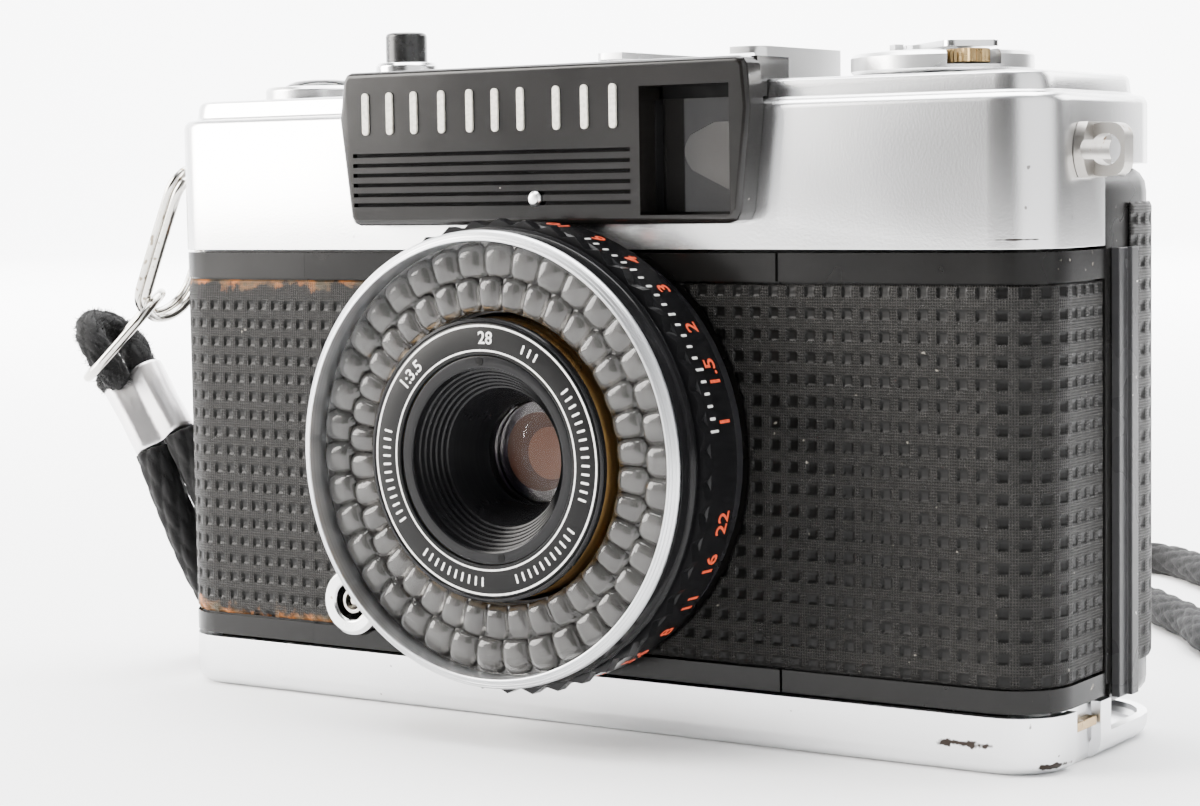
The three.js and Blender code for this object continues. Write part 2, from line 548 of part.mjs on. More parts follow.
const throat = [
  [10.3, -12.45], [9.3, -12.3], [8.9, -11.4], [8.3, -11.3], [8.2, -10.6], [7.7, -10.5],
  [7.6, -9.8], [7.2, -9.7], [7.1, -9.0], [6.7, -8.9], [5.4, -4.6], [5.4, -2.4], [10.3, -2.4],
];
const nameTube = [[10.5, -12.25], [14.1, -12.25], [14.1, -2.2], [10.5, -2.2]];
const frontElement = [[0, -4.5], [2.5, -4.35], [5.2, -3.7], [5.2, -2.6], [0, -2.9]];
const rearElement = [[0, 7.2], [4.6, 7.2], [4.6, 8.4], [2.4, 8.95], [0, 9.1]];
const shutterCase = [
  [16.2, 0.8], [16.9, 0.8], [16.9, 6.9], [6, 6.9], [6, 9.2], [4.9, 9.2], [4.9, 6.2], [16.2, 6.2],
];

function apertureRing() {
  const scale = turnedAboutLens([
    [20.8, SCALE_FRONT_Y - 0.2], [23.3, SCALE_FRONT_Y - 0.2], [SCALE_RADIUS, SCALE_FRONT_Y],
    [SCALE_RADIUS, SCALE_REAR_Y], [20.8, SCALE_REAR_Y],
  ]);
  const scallops = knurled([LENS_X, LENS_Z], GRIP_RADIUS, 0.7, GRIP_SCALLOPS);
  const grip = extrudeBack(scallops, GRIP_FRONT_Y, SCALE_FRONT_Y - 0.1);
  const bore = lensDrum(20.8, GRIP_FRONT_Y - 1, SCALE_REAR_Y + 1);
  return join(scale, cut(grip, bore));
}

function shutterBlade(side) {
  const y = side > 0 ? 3.0 : 3.7;
  const edge = Array.from({ length: 15 }, (_, i) => {
    const angle = THREE.MathUtils.degToRad(-80 + (160 * i) / 14);
    return [-1.4 + 7.2 * Math.cos(angle), 7.2 * Math.sin(angle)];
  });
  const outline = [...edge, [3.6, 12.2], [1.5, 12.4], [-1.6, 7.6]];
  const placed = outline.map(([x, z]) => [LENS_X + side * x, LENS_Z + z]);
  return extrudeBack(placed, y, y + 0.25);
}
add('lens_barrel', turnedAboutLens(barrel, 60), blackAnodised);
add('aperture_ring', apertureRing(), blackEnamel);
add('film_speed_ring', turnedAboutLens(speedRing), blackEnamel);
add('filter_ring', turnedAboutLens(filterRing), chrome);
add('meter_window', turnedAboutLens(ring(14.7, 21.4, -11.1, -10.0), 56), clearPlastic);
add('meter_cell', turnedAboutLens(ring(14.8, 20.2, -9.6, -8.9), 56), darkGlass);
add('lens_tube', turnedAboutLens(nameTube, 56), brass);
add('name_ring', turnedAboutLens(ring(10.6, 13.7, LENS_FRONT_Y + 0.7, LENS_FRONT_Y + 1.1), 56), blackEnamel);
add('lens_throat', turnedAboutLens(throat, 40), blackAnodised);
add('front_element', turnedAboutLens(frontElement, 40), darkGlass);
add('rear_element', turnedAboutLens(rearElement, 32), darkGlass);
add('shutter_case', turnedAboutLens(shutterCase, 36), castMetal);
add('shutter_blade_right', shutterBlade(1), blackAnodised);
add('shutter_blade_left', shutterBlade(-1), blackAnodised);
add('pc_socket', turnedAlongY(PC_SOCKET, [
  [2.2, -1.5], [3.3, -1.6], [3.7, -1.2], [3.7, 0.55], [2.4, 0.55], [2.4, 1.9], [2.0, 1.9], [2.0, -1.3],
], 36), chrome);
add('pc_contact', turnedAlongY(PC_SOCKET, [
  [0, -0.9], [0.45, -0.8], [0.45, 0.9], [1.0, 0.9], [1.0, -1.0], [1.35, -1.0], [1.35, 1.6], [0, 1.6],
], 24), brass);

// ---- strap lugs and wrist strap -------------------------------------------------------------
function strapLug(side) {
  const start = HALF_WIDTH + 0.05;
  const { y, z, reach } = LUG;
  const flange = cut(
    solid(new THREE.CylinderGeometry(3.4, 3.4, 1.0, 32).rotateZ(Math.PI / 2)
      .translate(start + 0.5, y, z)),
    box([50, 60], [0, 20], [z + 2.6, z + 6]),
    box([50, 60], [0, 20], [z - 6, z - 2.6]));
  const tabOutline = roundedRect([start + 0.3, start + reach], [z - 2.5, z + 2.5], 1.3, 1.3, 4);
  const tab = extrudeBack(tabOutline, y - 1.05, y + 1.05);
  const eye = turnedAlongY([start + 2.2, z], [[0, 5], [1.5, 5], [1.5, 14], [0, 14]], 28);
  const lug = cut(join(flange, tab), eye);
  return side > 0 ? lug : lug.mirror([1, 0, 0]);
}
add('strap_lug_right', strapLug(1), chrome);
add('strap_lug_left', strapLug(-1), chrome);

// The wrist strap hangs from the left lug: a split ring, a link, a cord loop held by a crimp, and
// the cord itself, which runs down to the table, round behind the camera and back to the crimp.
const WIRE = 0.55;
const STRAP_CORD_RADIUS = 2.1;
const vector = ([x, y, z]) => new THREE.Vector3(x, y, z);

// Local directions: along the piece, across it, and out of its plane.
function directions(along, across) {
  const u = vector(along).normalize();
  const n = u.clone().cross(vector(across)).normalize();
  return { u, v: n.clone().cross(u), n };
}
const placed = (origin, { u, v, n }) => ([a, b, c = 0]) =>
  vector(origin).addScaledVector(u, a).addScaledVector(v, b).addScaledVector(n, c);

const EYE = [-HALF_WIDTH - 0.05 - 2.2, LUG.y, LUG.z];
const RING_AXES = directions([-0.469, 0.086, -0.879], [0, 1, 0]);
const LINK_CENTRE = [-67.6, 7.2, 39.1];
const LINK_AXES = directions([-0.622, -0.293, -0.726], [-0.565, 0.81, 0.158]);
const CRIMP_TOP = [-69.5, 11, 32.9];
const CRIMP_AXES = directions([0.567, 0, -0.824], [0.777, 0.333, 0.534]);
const CRIMP_LENGTH = 7.1;

// Two turns of wire lie side by side, and step across from one to the other on one long side.
function splitRing() {
  const turn = roundedRect([-4.1, 4.1], [0, 19.5], 3, 3.9, 5).map(([across, along]) => [along, across]);
  const count = turn.length;
  const first = Math.round(0.14 * count);
  const last = Math.round(1.86 * count);
  const put = placed(EYE, RING_AXES);
  const points = [];
  for (let i = first; i <= last; i += 1) {
    const step = THREE.MathUtils.smoothstep(i / count, 0.9, 1.1);
    points.push(put([...turn[i % count], -0.6 + 1.2 * step]));
  }
  return cordAlong(points, WIRE, 8, 60);
}

function link() {
  const [halfLength, halfWidth] = [6.7, 4.0];
  const put = placed(LINK_CENTRE, LINK_AXES);
  const outline = roundedRect([-halfLength, halfLength], [-halfWidth, halfWidth], halfWidth - 0.01);
  const curve = new THREE.CatmullRomCurve3(outline.map(put), true, 'centripetal');
  return solid(new THREE.TubeGeometry(curve, 36, WIRE, 8, true));
}

const LOOP_ROUTE = [
  [6.2, 4.8, 3.5], [6.7, 4.6, 2.5], [5.6, 3.0, 2.6], [4.6, 1.2, 1.5], [3.9, 0.4, -0.4],
  [3.4, 1.4, -2.4], [2.9, 3.8, -3.6], [2.4, 6.2, -2.6], [2.1, 7.1, -0.4], [2.1, 6.4, 1.8],
  [2.5, 5.0, 3.3], [2.9, 4.4, 4.4],
];
const LOOP_RADIUS = 1.6;

function crimp() {
  const [barrel, halfGap] = [2.3, 2.0];
  const half = (side) => Array.from({ length: 9 }, (_, i) => {
    const angle = THREE.MathUtils.degToRad(side * (-90 + 22.5 * i));
    return [side * (halfGap + barrel * Math.cos(angle)), barrel * Math.sin(angle)];
  });
  const outline = [...half(1), [0, 1.5], ...half(-1), [0, -1.5]];
  const { u, v, n } = CRIMP_AXES;
  const frame = new THREE.Matrix4().makeBasis(v, n, u).setPosition(vector(CRIMP_TOP));
  return solid(extrudeUp(outline, 0, CRIMP_LENGTH).applyMatrix4(frame));
}

const CORD_FLOOR_Z = STRAP_CORD_RADIUS + 0.06;
const CORD_ROUTE = [
  [-66.5, 10.3, 25.1], [-64.9, 10.4, 21.4], [-63.4, 10.9, 17.4], [-62.2, 11.9, 13.3],
  [-61.5, 13.8, 9.1], [-61.2, 16.6, 5.4], [-61, 20.3, 2.9], [-60.8, 24.8, CORD_FLOOR_Z],
  [-59.4, 32, CORD_FLOOR_Z], [-50, 58, CORD_FLOOR_Z], [-37, 88, CORD_FLOOR_Z],
  [-20, 117, CORD_FLOOR_Z], [-2, 130, CORD_FLOOR_Z], [13, 129.5, CORD_FLOOR_Z],
  [26, 117.5, CORD_FLOOR_Z], [45, 97, CORD_FLOOR_Z], [50.2, 92.3, CORD_FLOOR_Z],
  [55.8, 88.7, CORD_FLOOR_Z], [60.5, 84.9, CORD_FLOOR_Z], [63.2, 79.8, CORD_FLOOR_Z],
  [62.9, 73.9, CORD_FLOOR_Z], [60.2, 69.2, CORD_FLOOR_Z], [55.3, 66.5, CORD_FLOOR_Z],
  [49.5, 66.4, CORD_FLOOR_Z], [44.4, 69.1, CORD_FLOOR_Z], [40.7, 73.9, CORD_FLOOR_Z],
  [37.2, 79.6, CORD_FLOOR_Z], [32.6, 84.9, CORD_FLOOR_Z], [24, 94, CORD_FLOOR_Z],
  [5, 104, CORD_FLOOR_Z], [-15, 98, CORD_FLOOR_Z], [-32, 78, CORD_FLOOR_Z],
  [-44, 54, CORD_FLOOR_Z], [-53, 36, CORD_FLOOR_Z], [-56.3, 24.8, CORD_FLOOR_Z],
  [-56.5, 20.3, 2.9], [-56.6, 16.6, 5.4], [-56.9, 14.3, 9.6], [-57.9, 13.2, 14.2],
  [-59.4, 12.6, 18.8], [-61.2, 12.1, 23.1], [-63.25, 11.7, 27.3],
];
const CORD_STEPS = 64;
add('strap_ring', splitRing(), chrome);
add('strap_link', link(), chrome);
add('strap_loop',
  cordAlong(LOOP_ROUTE.map(placed(LINK_CENTRE, LINK_AXES)), LOOP_RADIUS, 8, 22), cordBlack);
add('strap_crimp', crimp(), satinSilver);
add('strap_cord', cordAlong(CORD_ROUTE.map(vector), STRAP_CORD_RADIUS, 10, CORD_STEPS), cordBlack);

export default model;
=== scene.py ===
"""Looks for the half frame camera: materials, leather, lens detail, strap, light and camera."""
import json
import math

import bmesh
import bpy
import numpy as np
from mathutils import Matrix, Vector

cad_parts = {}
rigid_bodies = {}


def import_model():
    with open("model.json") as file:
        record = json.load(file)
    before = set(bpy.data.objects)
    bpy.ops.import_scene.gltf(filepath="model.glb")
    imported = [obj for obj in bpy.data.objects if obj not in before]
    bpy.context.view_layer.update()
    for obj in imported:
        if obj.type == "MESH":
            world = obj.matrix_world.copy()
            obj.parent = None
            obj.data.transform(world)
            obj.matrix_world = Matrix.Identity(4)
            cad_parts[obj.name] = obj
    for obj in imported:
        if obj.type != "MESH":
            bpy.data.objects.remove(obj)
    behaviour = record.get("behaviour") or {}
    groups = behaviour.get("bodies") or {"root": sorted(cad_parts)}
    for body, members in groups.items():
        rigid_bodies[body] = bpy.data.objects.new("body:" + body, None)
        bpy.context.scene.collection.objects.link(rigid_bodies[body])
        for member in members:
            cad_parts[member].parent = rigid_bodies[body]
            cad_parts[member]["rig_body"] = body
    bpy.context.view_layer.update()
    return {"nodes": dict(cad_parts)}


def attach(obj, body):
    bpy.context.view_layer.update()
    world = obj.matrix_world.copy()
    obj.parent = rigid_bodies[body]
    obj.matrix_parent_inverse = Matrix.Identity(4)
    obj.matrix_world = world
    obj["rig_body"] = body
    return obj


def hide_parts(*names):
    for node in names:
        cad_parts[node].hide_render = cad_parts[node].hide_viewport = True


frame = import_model()
NODES = frame["nodes"]

# Everything is drawn in millimetres with the body's front face at y = 0, then put in the frame.
MM = 0.001
FRONT_Y = 9.7
HALF_WIDTH = 54.0
LENS_X = -0.6
LENS_Z = 28.9
HOOD_FACE = -3.0
HOOD_ROLL = 0.65
HOOD_XS = (-24.2, 23.0)         # past these, and the heights below, lies the rim that is rolled
HOOD_ZS = (52.5, 67.3)
GROOVE_XS = (-24.2, 11.0)
GROOVE_ZS = (53.9, 59.9)
TAU = 2 * math.pi


def placed(points):
    """Millimetres from the body's front face to metres in the row frame."""
    return (np.asarray(points, float).reshape(-1, 3) - (0, FRONT_Y, 0)) * MM


def linked(name, data):
    """A new object in the scene."""
    made = bpy.data.objects.new(name, data)
    bpy.context.scene.collection.objects.link(made)
    return made


def about_lens(reach, turn, y):
    """Points at a radius and an angle about the lens axis."""
    x, z = LENS_X + reach * np.cos(turn), LENS_Z + reach * np.sin(turn)
    return np.stack([x, np.broadcast_to(y, x.shape), z], -1)


# ---- camera -----------------------------------------------------------------------------------
CAMERA_PLACE = (0.155285, -0.235575, 0.055837)
CAMERA_AZIMUTH = 0.5875
CAMERA_PITCH = 0.08089
CAMERA_ROLL = -0.01607
CAMERA_LENS = 80.27


def make_camera():
    ca, sa = math.cos(CAMERA_AZIMUTH), math.sin(CAMERA_AZIMUTH)
    cp, sp = math.cos(CAMERA_PITCH), math.sin(CAMERA_PITCH)
    forward = Vector((-sa * cp, ca * cp, -sp))
    level = Vector((ca, sa, 0))
    upright = level.cross(forward)
    right = math.cos(CAMERA_ROLL) * level + math.sin(CAMERA_ROLL) * upright
    up = -math.sin(CAMERA_ROLL) * level + math.cos(CAMERA_ROLL) * upright
    data = bpy.data.cameras.new("camera")
    data.lens = CAMERA_LENS
    data.sensor_width = 36
    data.clip_start = 0.01
    camera = linked("camera", data)
    turn = Matrix((right, up, -forward)).transposed().to_4x4()
    camera.matrix_world = Matrix.Translation(CAMERA_PLACE) @ turn
    bpy.context.scene.camera = camera


make_camera()


# ---- materials --------------------------------------------------------------------------------
class Nodes:
    """Short names for building one material's node tree."""

    def __init__(self, name):
        self.material = bpy.data.materials.new(name)
        self.material.use_nodes = True
        self.tree = self.material.node_tree
        self.shader = self.tree.nodes["Principled BSDF"]
        self.place = self.node("TexCoord").outputs["Object"]

    def node(self, kind, inputs=None, **settings):
        made = self.tree.nodes.new("ShaderNode" + kind)
        for key, value in settings.items():
            setattr(made, key, value)
        for key, value in (inputs or {}).items():
            self.put(made.inputs[key], value)
        return made

    def put(self, socket, value):
        if isinstance(value, bpy.types.NodeSocket):
            self.tree.links.new(value, socket)
        else:
            socket.default_value = value

    def set(self, **values):
        for key, value in values.items():
            self.put(self.shader.inputs[key.replace("_", " ")], value)

    def attribute(self, name):
        return self.node("Attribute", attribute_name=name).outputs["Vector"]

    def noise(self, scale, detail=3.0, roughness=0.55, vector=None):
        made = self.node("TexNoise", {"Vector": vector or self.place, "Scale": scale,
                                      "Detail": detail, "Roughness": roughness})
        return made.outputs["Fac"]

    def ramp(self, value, stops):
        made = self.node("ValToRGB", {"Fac": value})
        elements = made.color_ramp.elements
        while len(elements) < len(stops):
            elements.new(0.5)
        for element, (position, color) in zip(elements, stops):
            element.position = position
            element.color = (*color, 1) if len(color) == 3 else color
        return made.outputs["Color"]

    def spread(self, value, low, high, from_low=0.3, from_high=0.7, smooth=False):
        made = self.node("MapRange", {
            "Value": value, "From Min": from_low, "From Max": from_high,
            "To Min": low, "To Max": high})
        if smooth:
            made.interpolation_type = "SMOOTHSTEP"
        return made.outputs["Result"]

    def math(self, operation, a, b=0.0, c=0.0):
        made = self.node("Math", operation=operation)
        for socket, value in zip(made.inputs, (a, b, c)):
            self.put(socket, value)
        return made.outputs["Value"]

    def mix(self, factor, a, b):
        made = self.node("Mix", data_type="RGBA")
        for socket, value in zip((made.inputs[0], made.inputs[6], made.inputs[7]), (factor, a, b)):
            if isinstance(value, tuple) and len(value) == 3:
                value = (*value, 1)
            self.put(socket, value)
        return made.outputs[2]

    def bump(self, height, distance, strength=1.0, normal=None):
        made = self.node("Bump", {"Height": height, "Distance": distance, "Strength": strength})
        if normal:
            self.put(made.inputs["Normal"], normal)
        return made.outputs["Normal"]

    def split(self, vector):
        return self.node("SeparateXYZ", {"Vector": vector}).outputs

    def offset(self, *point):
        """The place as measured from a point in millimetres."""
        metres = tuple(v * MM for v in point)
        made = self.node("VectorMath", {0: self.place, 1: metres}, operation="SUBTRACT")
        return made.outputs[0]


def finish(name, light, dark, rough, metallic=0.0, grain=900.0, bump=0.004, speck=None, **more):
    """Two tones in clouds, uneven gloss, and a fine grain; speck adds pits of another colour."""
    n = Nodes(name)
    clouds = n.noise(60.0, 4.0)
    color = n.ramp(clouds, [(0.3, dark), (0.7, light)])
    fine = n.noise(grain, 2.0)
    if speck:
        tint, cover = speck
        spots = n.noise(grain * 0.6, 1.0, 0.4)
        color = n.mix(n.spread(spots, 0.0, 1.0, cover, cover + 0.03), color, tint)
    n.set(Base_Color=color, Metallic=metallic, Roughness=n.spread(fine, *rough),
          Normal=n.bump(fine, bump * MM), **more)
    return n.material


def satin_metal(name, light, dark, rough, scratches=()):
    """Bead-blasted chrome: a soft sparkle of fine grain, hazing, rare pits and a few scratches."""
    n = Nodes(name)
    haze = n.noise(35.0, 3.0)
    color = n.ramp(haze, [(0.3, dark), (0.7, light)])
    pits = n.noise(1250.0, 1.0, 0.3)
    color = n.mix(n.spread(pits, 0.8, 0.0, 0.17, 0.2), color, (0.12, 0.11, 0.1))
    for (x, y, z), radii in scratches:
        shares = tuple(1 / (v * MM) for v in radii)
        scaled = n.node("VectorMath", {0: n.offset(x, y - FRONT_Y, z), 1: shares},
                        operation="MULTIPLY").outputs[0]
        away = n.node("VectorMath", {0: scaled}, operation="LENGTH").outputs["Value"]
        ragged = n.math("ADD", away, n.spread(n.noise(900.0, 2.0), -0.5, 0.5))
        color = n.mix(n.spread(ragged, 1.0, 0.0, 0.8, 1.1), color, (0.035, 0.028, 0.024))
    grain = n.noise(3600.0, 2.0)
    n.set(Base_Color=color, Metallic=1.0, Roughness=n.spread(haze, *rough),
          Normal=n.bump(grain, 0.0065 * MM))
    return n.material


def worn_paint(name, paint, rough, metal, edge):
    """Black paint, chipped to the metal: edge is where x brings in the chips, and how many."""
    n = Nodes(name)
    clouds = n.noise(90.0, 3.0)
    tone = tuple(v * 1.5 for v in paint)
    color = n.ramp(clouds, [(0.3, paint), (0.7, tone)])
    x_first, x_full, cover = edge
    zone = n.spread(n.split(n.place)[0], 0.0, 1.0, x_first * MM, x_full * MM)
    chips = n.noise(650.0, 3.0, 0.7)
    chip = n.spread(n.math("MULTIPLY_ADD", zone, cover, chips), 0.0, 1.0, 0.78, 0.82)
    color = n.mix(chip, color, metal)
    n.set(Base_Color=color, Metallic=chip, Roughness=n.spread(clouds, *rough), Specular_IOR_Level=0.17,
          Normal=n.bump(n.noise(1500.0, 2.0), 0.004 * MM, 1.0, n.bump(chip, -0.02 * MM)))
    return n.material


def leather_cloth(name, stained):
    """Embossed black cloth: fine threads with a painted highlight, smooth dimples with painted shade,
    dust, and rust at the edges.
    """
    n = Nodes(name)
    along, up, relief = n.split(n.attribute("weave"))
    thread_up, thread_along = 0.29, 0.27
    rows = n.math("SINE", n.math("MULTIPLY", up, TAU / thread_up))
    columns = n.math("SINE", n.math("MULTIPLY", along, TAU / thread_along))
    ground = n.spread(relief, 0.0, 1.0, 0.55, 0.95)
    threads = n.math("MULTIPLY", n.math("MAXIMUM", rows, columns), ground)
    cloud = n.noise(130.0, 4.0)
    grain = n.noise(1900.0, 3.0, 0.6)
    # Painted shade: the dimples get a darker tone than the raised cloth, as if shaded.
    dark = n.ramp(cloud, [(0.3, (0.0028, 0.0027, 0.0026)), (0.75, (0.0045, 0.0043, 0.0041))])
    cloth = n.ramp(cloud, [(0.3, (0.003, 0.0029, 0.0028)), (0.75, (0.0056, 0.0054, 0.0051))])
    color = n.mix(ground, dark, cloth)
    # Painted highlight: the raised threads are lightened, as if lit from the left.
    thread_highlight = n.math("MULTIPLY", n.spread(threads, 0.0, 1.0, 0.3, 1.0), n.spread(grain, 0.15, 0.9))
    color = n.mix(thread_highlight, color, (0.04, 0.038, 0.035))
    dust = n.noise(1400.0, 1.0, 0.4)
    color = n.mix(n.spread(dust, 0.0, 0.6, 0.79, 0.83), color, (0.3, 0.28, 0.24))
    if stained:
        panel_middle = 27.3
        edge = n.math("ABSOLUTE", n.math("SUBTRACT", up, panel_middle))
        creep = n.math("ADD", edge, n.spread(n.noise(260.0, 5.0, 0.65), -1.5, 1.1))
        stain = n.spread(creep, 0.0, 1.0, 17.8, 18.6, True)
        rust = n.ramp(n.noise(330.0, 3.0), [
            (0.38, (0.055, 0.045, 0.03)), (0.5, (0.14, 0.07, 0.03)), (0.62, (0.36, 0.12, 0.03))])
        color = n.mix(stain, color, rust)
    n.set(Base_Color=color, Roughness=n.spread(ground, 0.32, 0.44, 0.0, 1.0), Specular_IOR_Level=0.12,
          Normal=n.bump(threads, 0.045 * MM, 1.0, n.bump(grain, 0.012 * MM)))
    return n.material


def turned_metal(name, light, dark, rough, lines=2600.0, depth=0.004, metallic=1.0, **more):
    """Lathe-turned metal: fine rings about the lens axis."""
    n = Nodes(name)
    x, y, z = n.split(n.offset(LENS_X, 0, LENS_Z))
    radius = n.math("SQRT", n.math("ADD", n.math("POWER", x, 2), n.math("POWER", z, 2)))
    rings = n.node("CombineXYZ", {0: radius, 1: y, 2: 0.0}).outputs[0]
    fine = n.noise(lines, 2.0, 0.6, rings)
    cloud = n.noise(120.0, 3.0)
    color = n.mix(n.spread(fine, 0.0, 0.5), light, dark)
    color = n.mix(n.spread(cloud, 0.0, 0.25), color, dark)
    n.set(Base_Color=color, Metallic=metallic, Roughness=n.spread(cloud, *rough),
          Normal=n.bump(fine, depth * MM), **more)
    return n.material


def hood_paint():
    """Thick warm black enamel, faintly orange-peeled, with painted shade darkening the grooves and rare
    dust.
    """
    n = Nodes("hood_paint")
    x, y, z = n.split(n.place)
    clouds = n.noise(45.0, 4.0)
    color = n.ramp(clouds, [(0.3, (0.0048, 0.0043, 0.0039)), (0.7, (0.007, 0.0063, 0.0057))])
    dust = n.noise(1500.0, 1.0, 0.4)
    color = n.mix(n.spread(dust, 0.0, 0.7, 0.79, 0.82), color, (0.3, 0.28, 0.25))
    # Painted shade: inside the grooves the colour goes near black and the reflection is turned down,
    # standing in for the shade that falls there.
    zone = 1.0
    for along, low, high in ((x, GROOVE_XS[0], GROOVE_XS[1]), (z, GROOVE_ZS[0], GROOVE_ZS[1]),
                             (y, HOOD_FACE + 0.1 - FRONT_Y, HOOD_FACE + 1.0 - FRONT_Y)):
        over = n.math("GREATER_THAN", along, low * MM)
        under = n.math("LESS_THAN", along, high * MM)
        zone = n.math("MULTIPLY", zone, n.math("MULTIPLY", over, under))
    # Painted shade: the near-black colour of the grooves.
    color = n.mix(zone, color, (0.0014, 0.0012, 0.0011))
    shine = n.math("SUBTRACT", 0.22, n.math("MULTIPLY", zone, 0.21))
    n.set(Base_Color=color, Roughness=n.spread(clouds, 0.15, 0.24), Coat_Weight=0.15,
          Coat_Roughness=0.08, Specular_IOR_Level=shine,
          Normal=n.bump(n.noise(420.0, 2.0), 0.012 * MM))
    return n.material


def enamel_paint(name, color):
    """Paint laid into an engraving: a little uneven, with chipped grain."""
    n = Nodes(name)
    grain = n.noise(2600.0, 3.0)
    dull = tuple(v * 0.72 for v in color)
    n.set(Base_Color=n.ramp(grain, [(0.35, dull), (0.6, color)]), Roughness=n.spread(grain, 0.35, 0.5),
          Normal=n.bump(grain, 0.01 * MM))
    return n.material


def bubble_plastic(name):
    """Clear moulded plastic: painted shade in the seams between its lenslets, and a few brownish specks.
    """
    n = Nodes(name)
    cloud = n.noise(220.0, 3.0)
    color = n.ramp(cloud, [(0.35, (0.11, 0.107, 0.103)), (0.65, (0.19, 0.186, 0.179))])
    speck = n.spread(n.noise(420.0, 2.0, 0.5), 0.0, 0.8, 0.73, 0.78)
    color = n.mix(speck, color, (0.3, 0.17, 0.07))
    pillow = n.split(n.attribute("weave"))[2]
    # Painted shade: the colour darkens towards the seams between the lenslets.
    seam_shade = n.spread(pillow, 0.96, 0.0, 0.02, 0.36, True)
    color = n.mix(seam_shade, color, (0.035, 0.032, 0.03))
    n.set(Base_Color=color, Transmission_Weight=0.74, Roughness=n.spread(cloud, 0.12, 0.2), IOR=1.42,
          Normal=n.bump(cloud, 0.01 * MM))
    return n.material


def glass(name, tint, rough, ior):
    """Clear glass or plastic with faint smears."""
    n = Nodes(name)
    smear = n.noise(150.0, 4.0)
    dull = tuple(v * 0.9 for v in tint)
    n.set(Base_Color=n.ramp(smear, [(0.3, dull), (0.7, tint)]), Transmission_Weight=1.0,
          Roughness=n.spread(smear, *rough), IOR=ior)
    return n.material


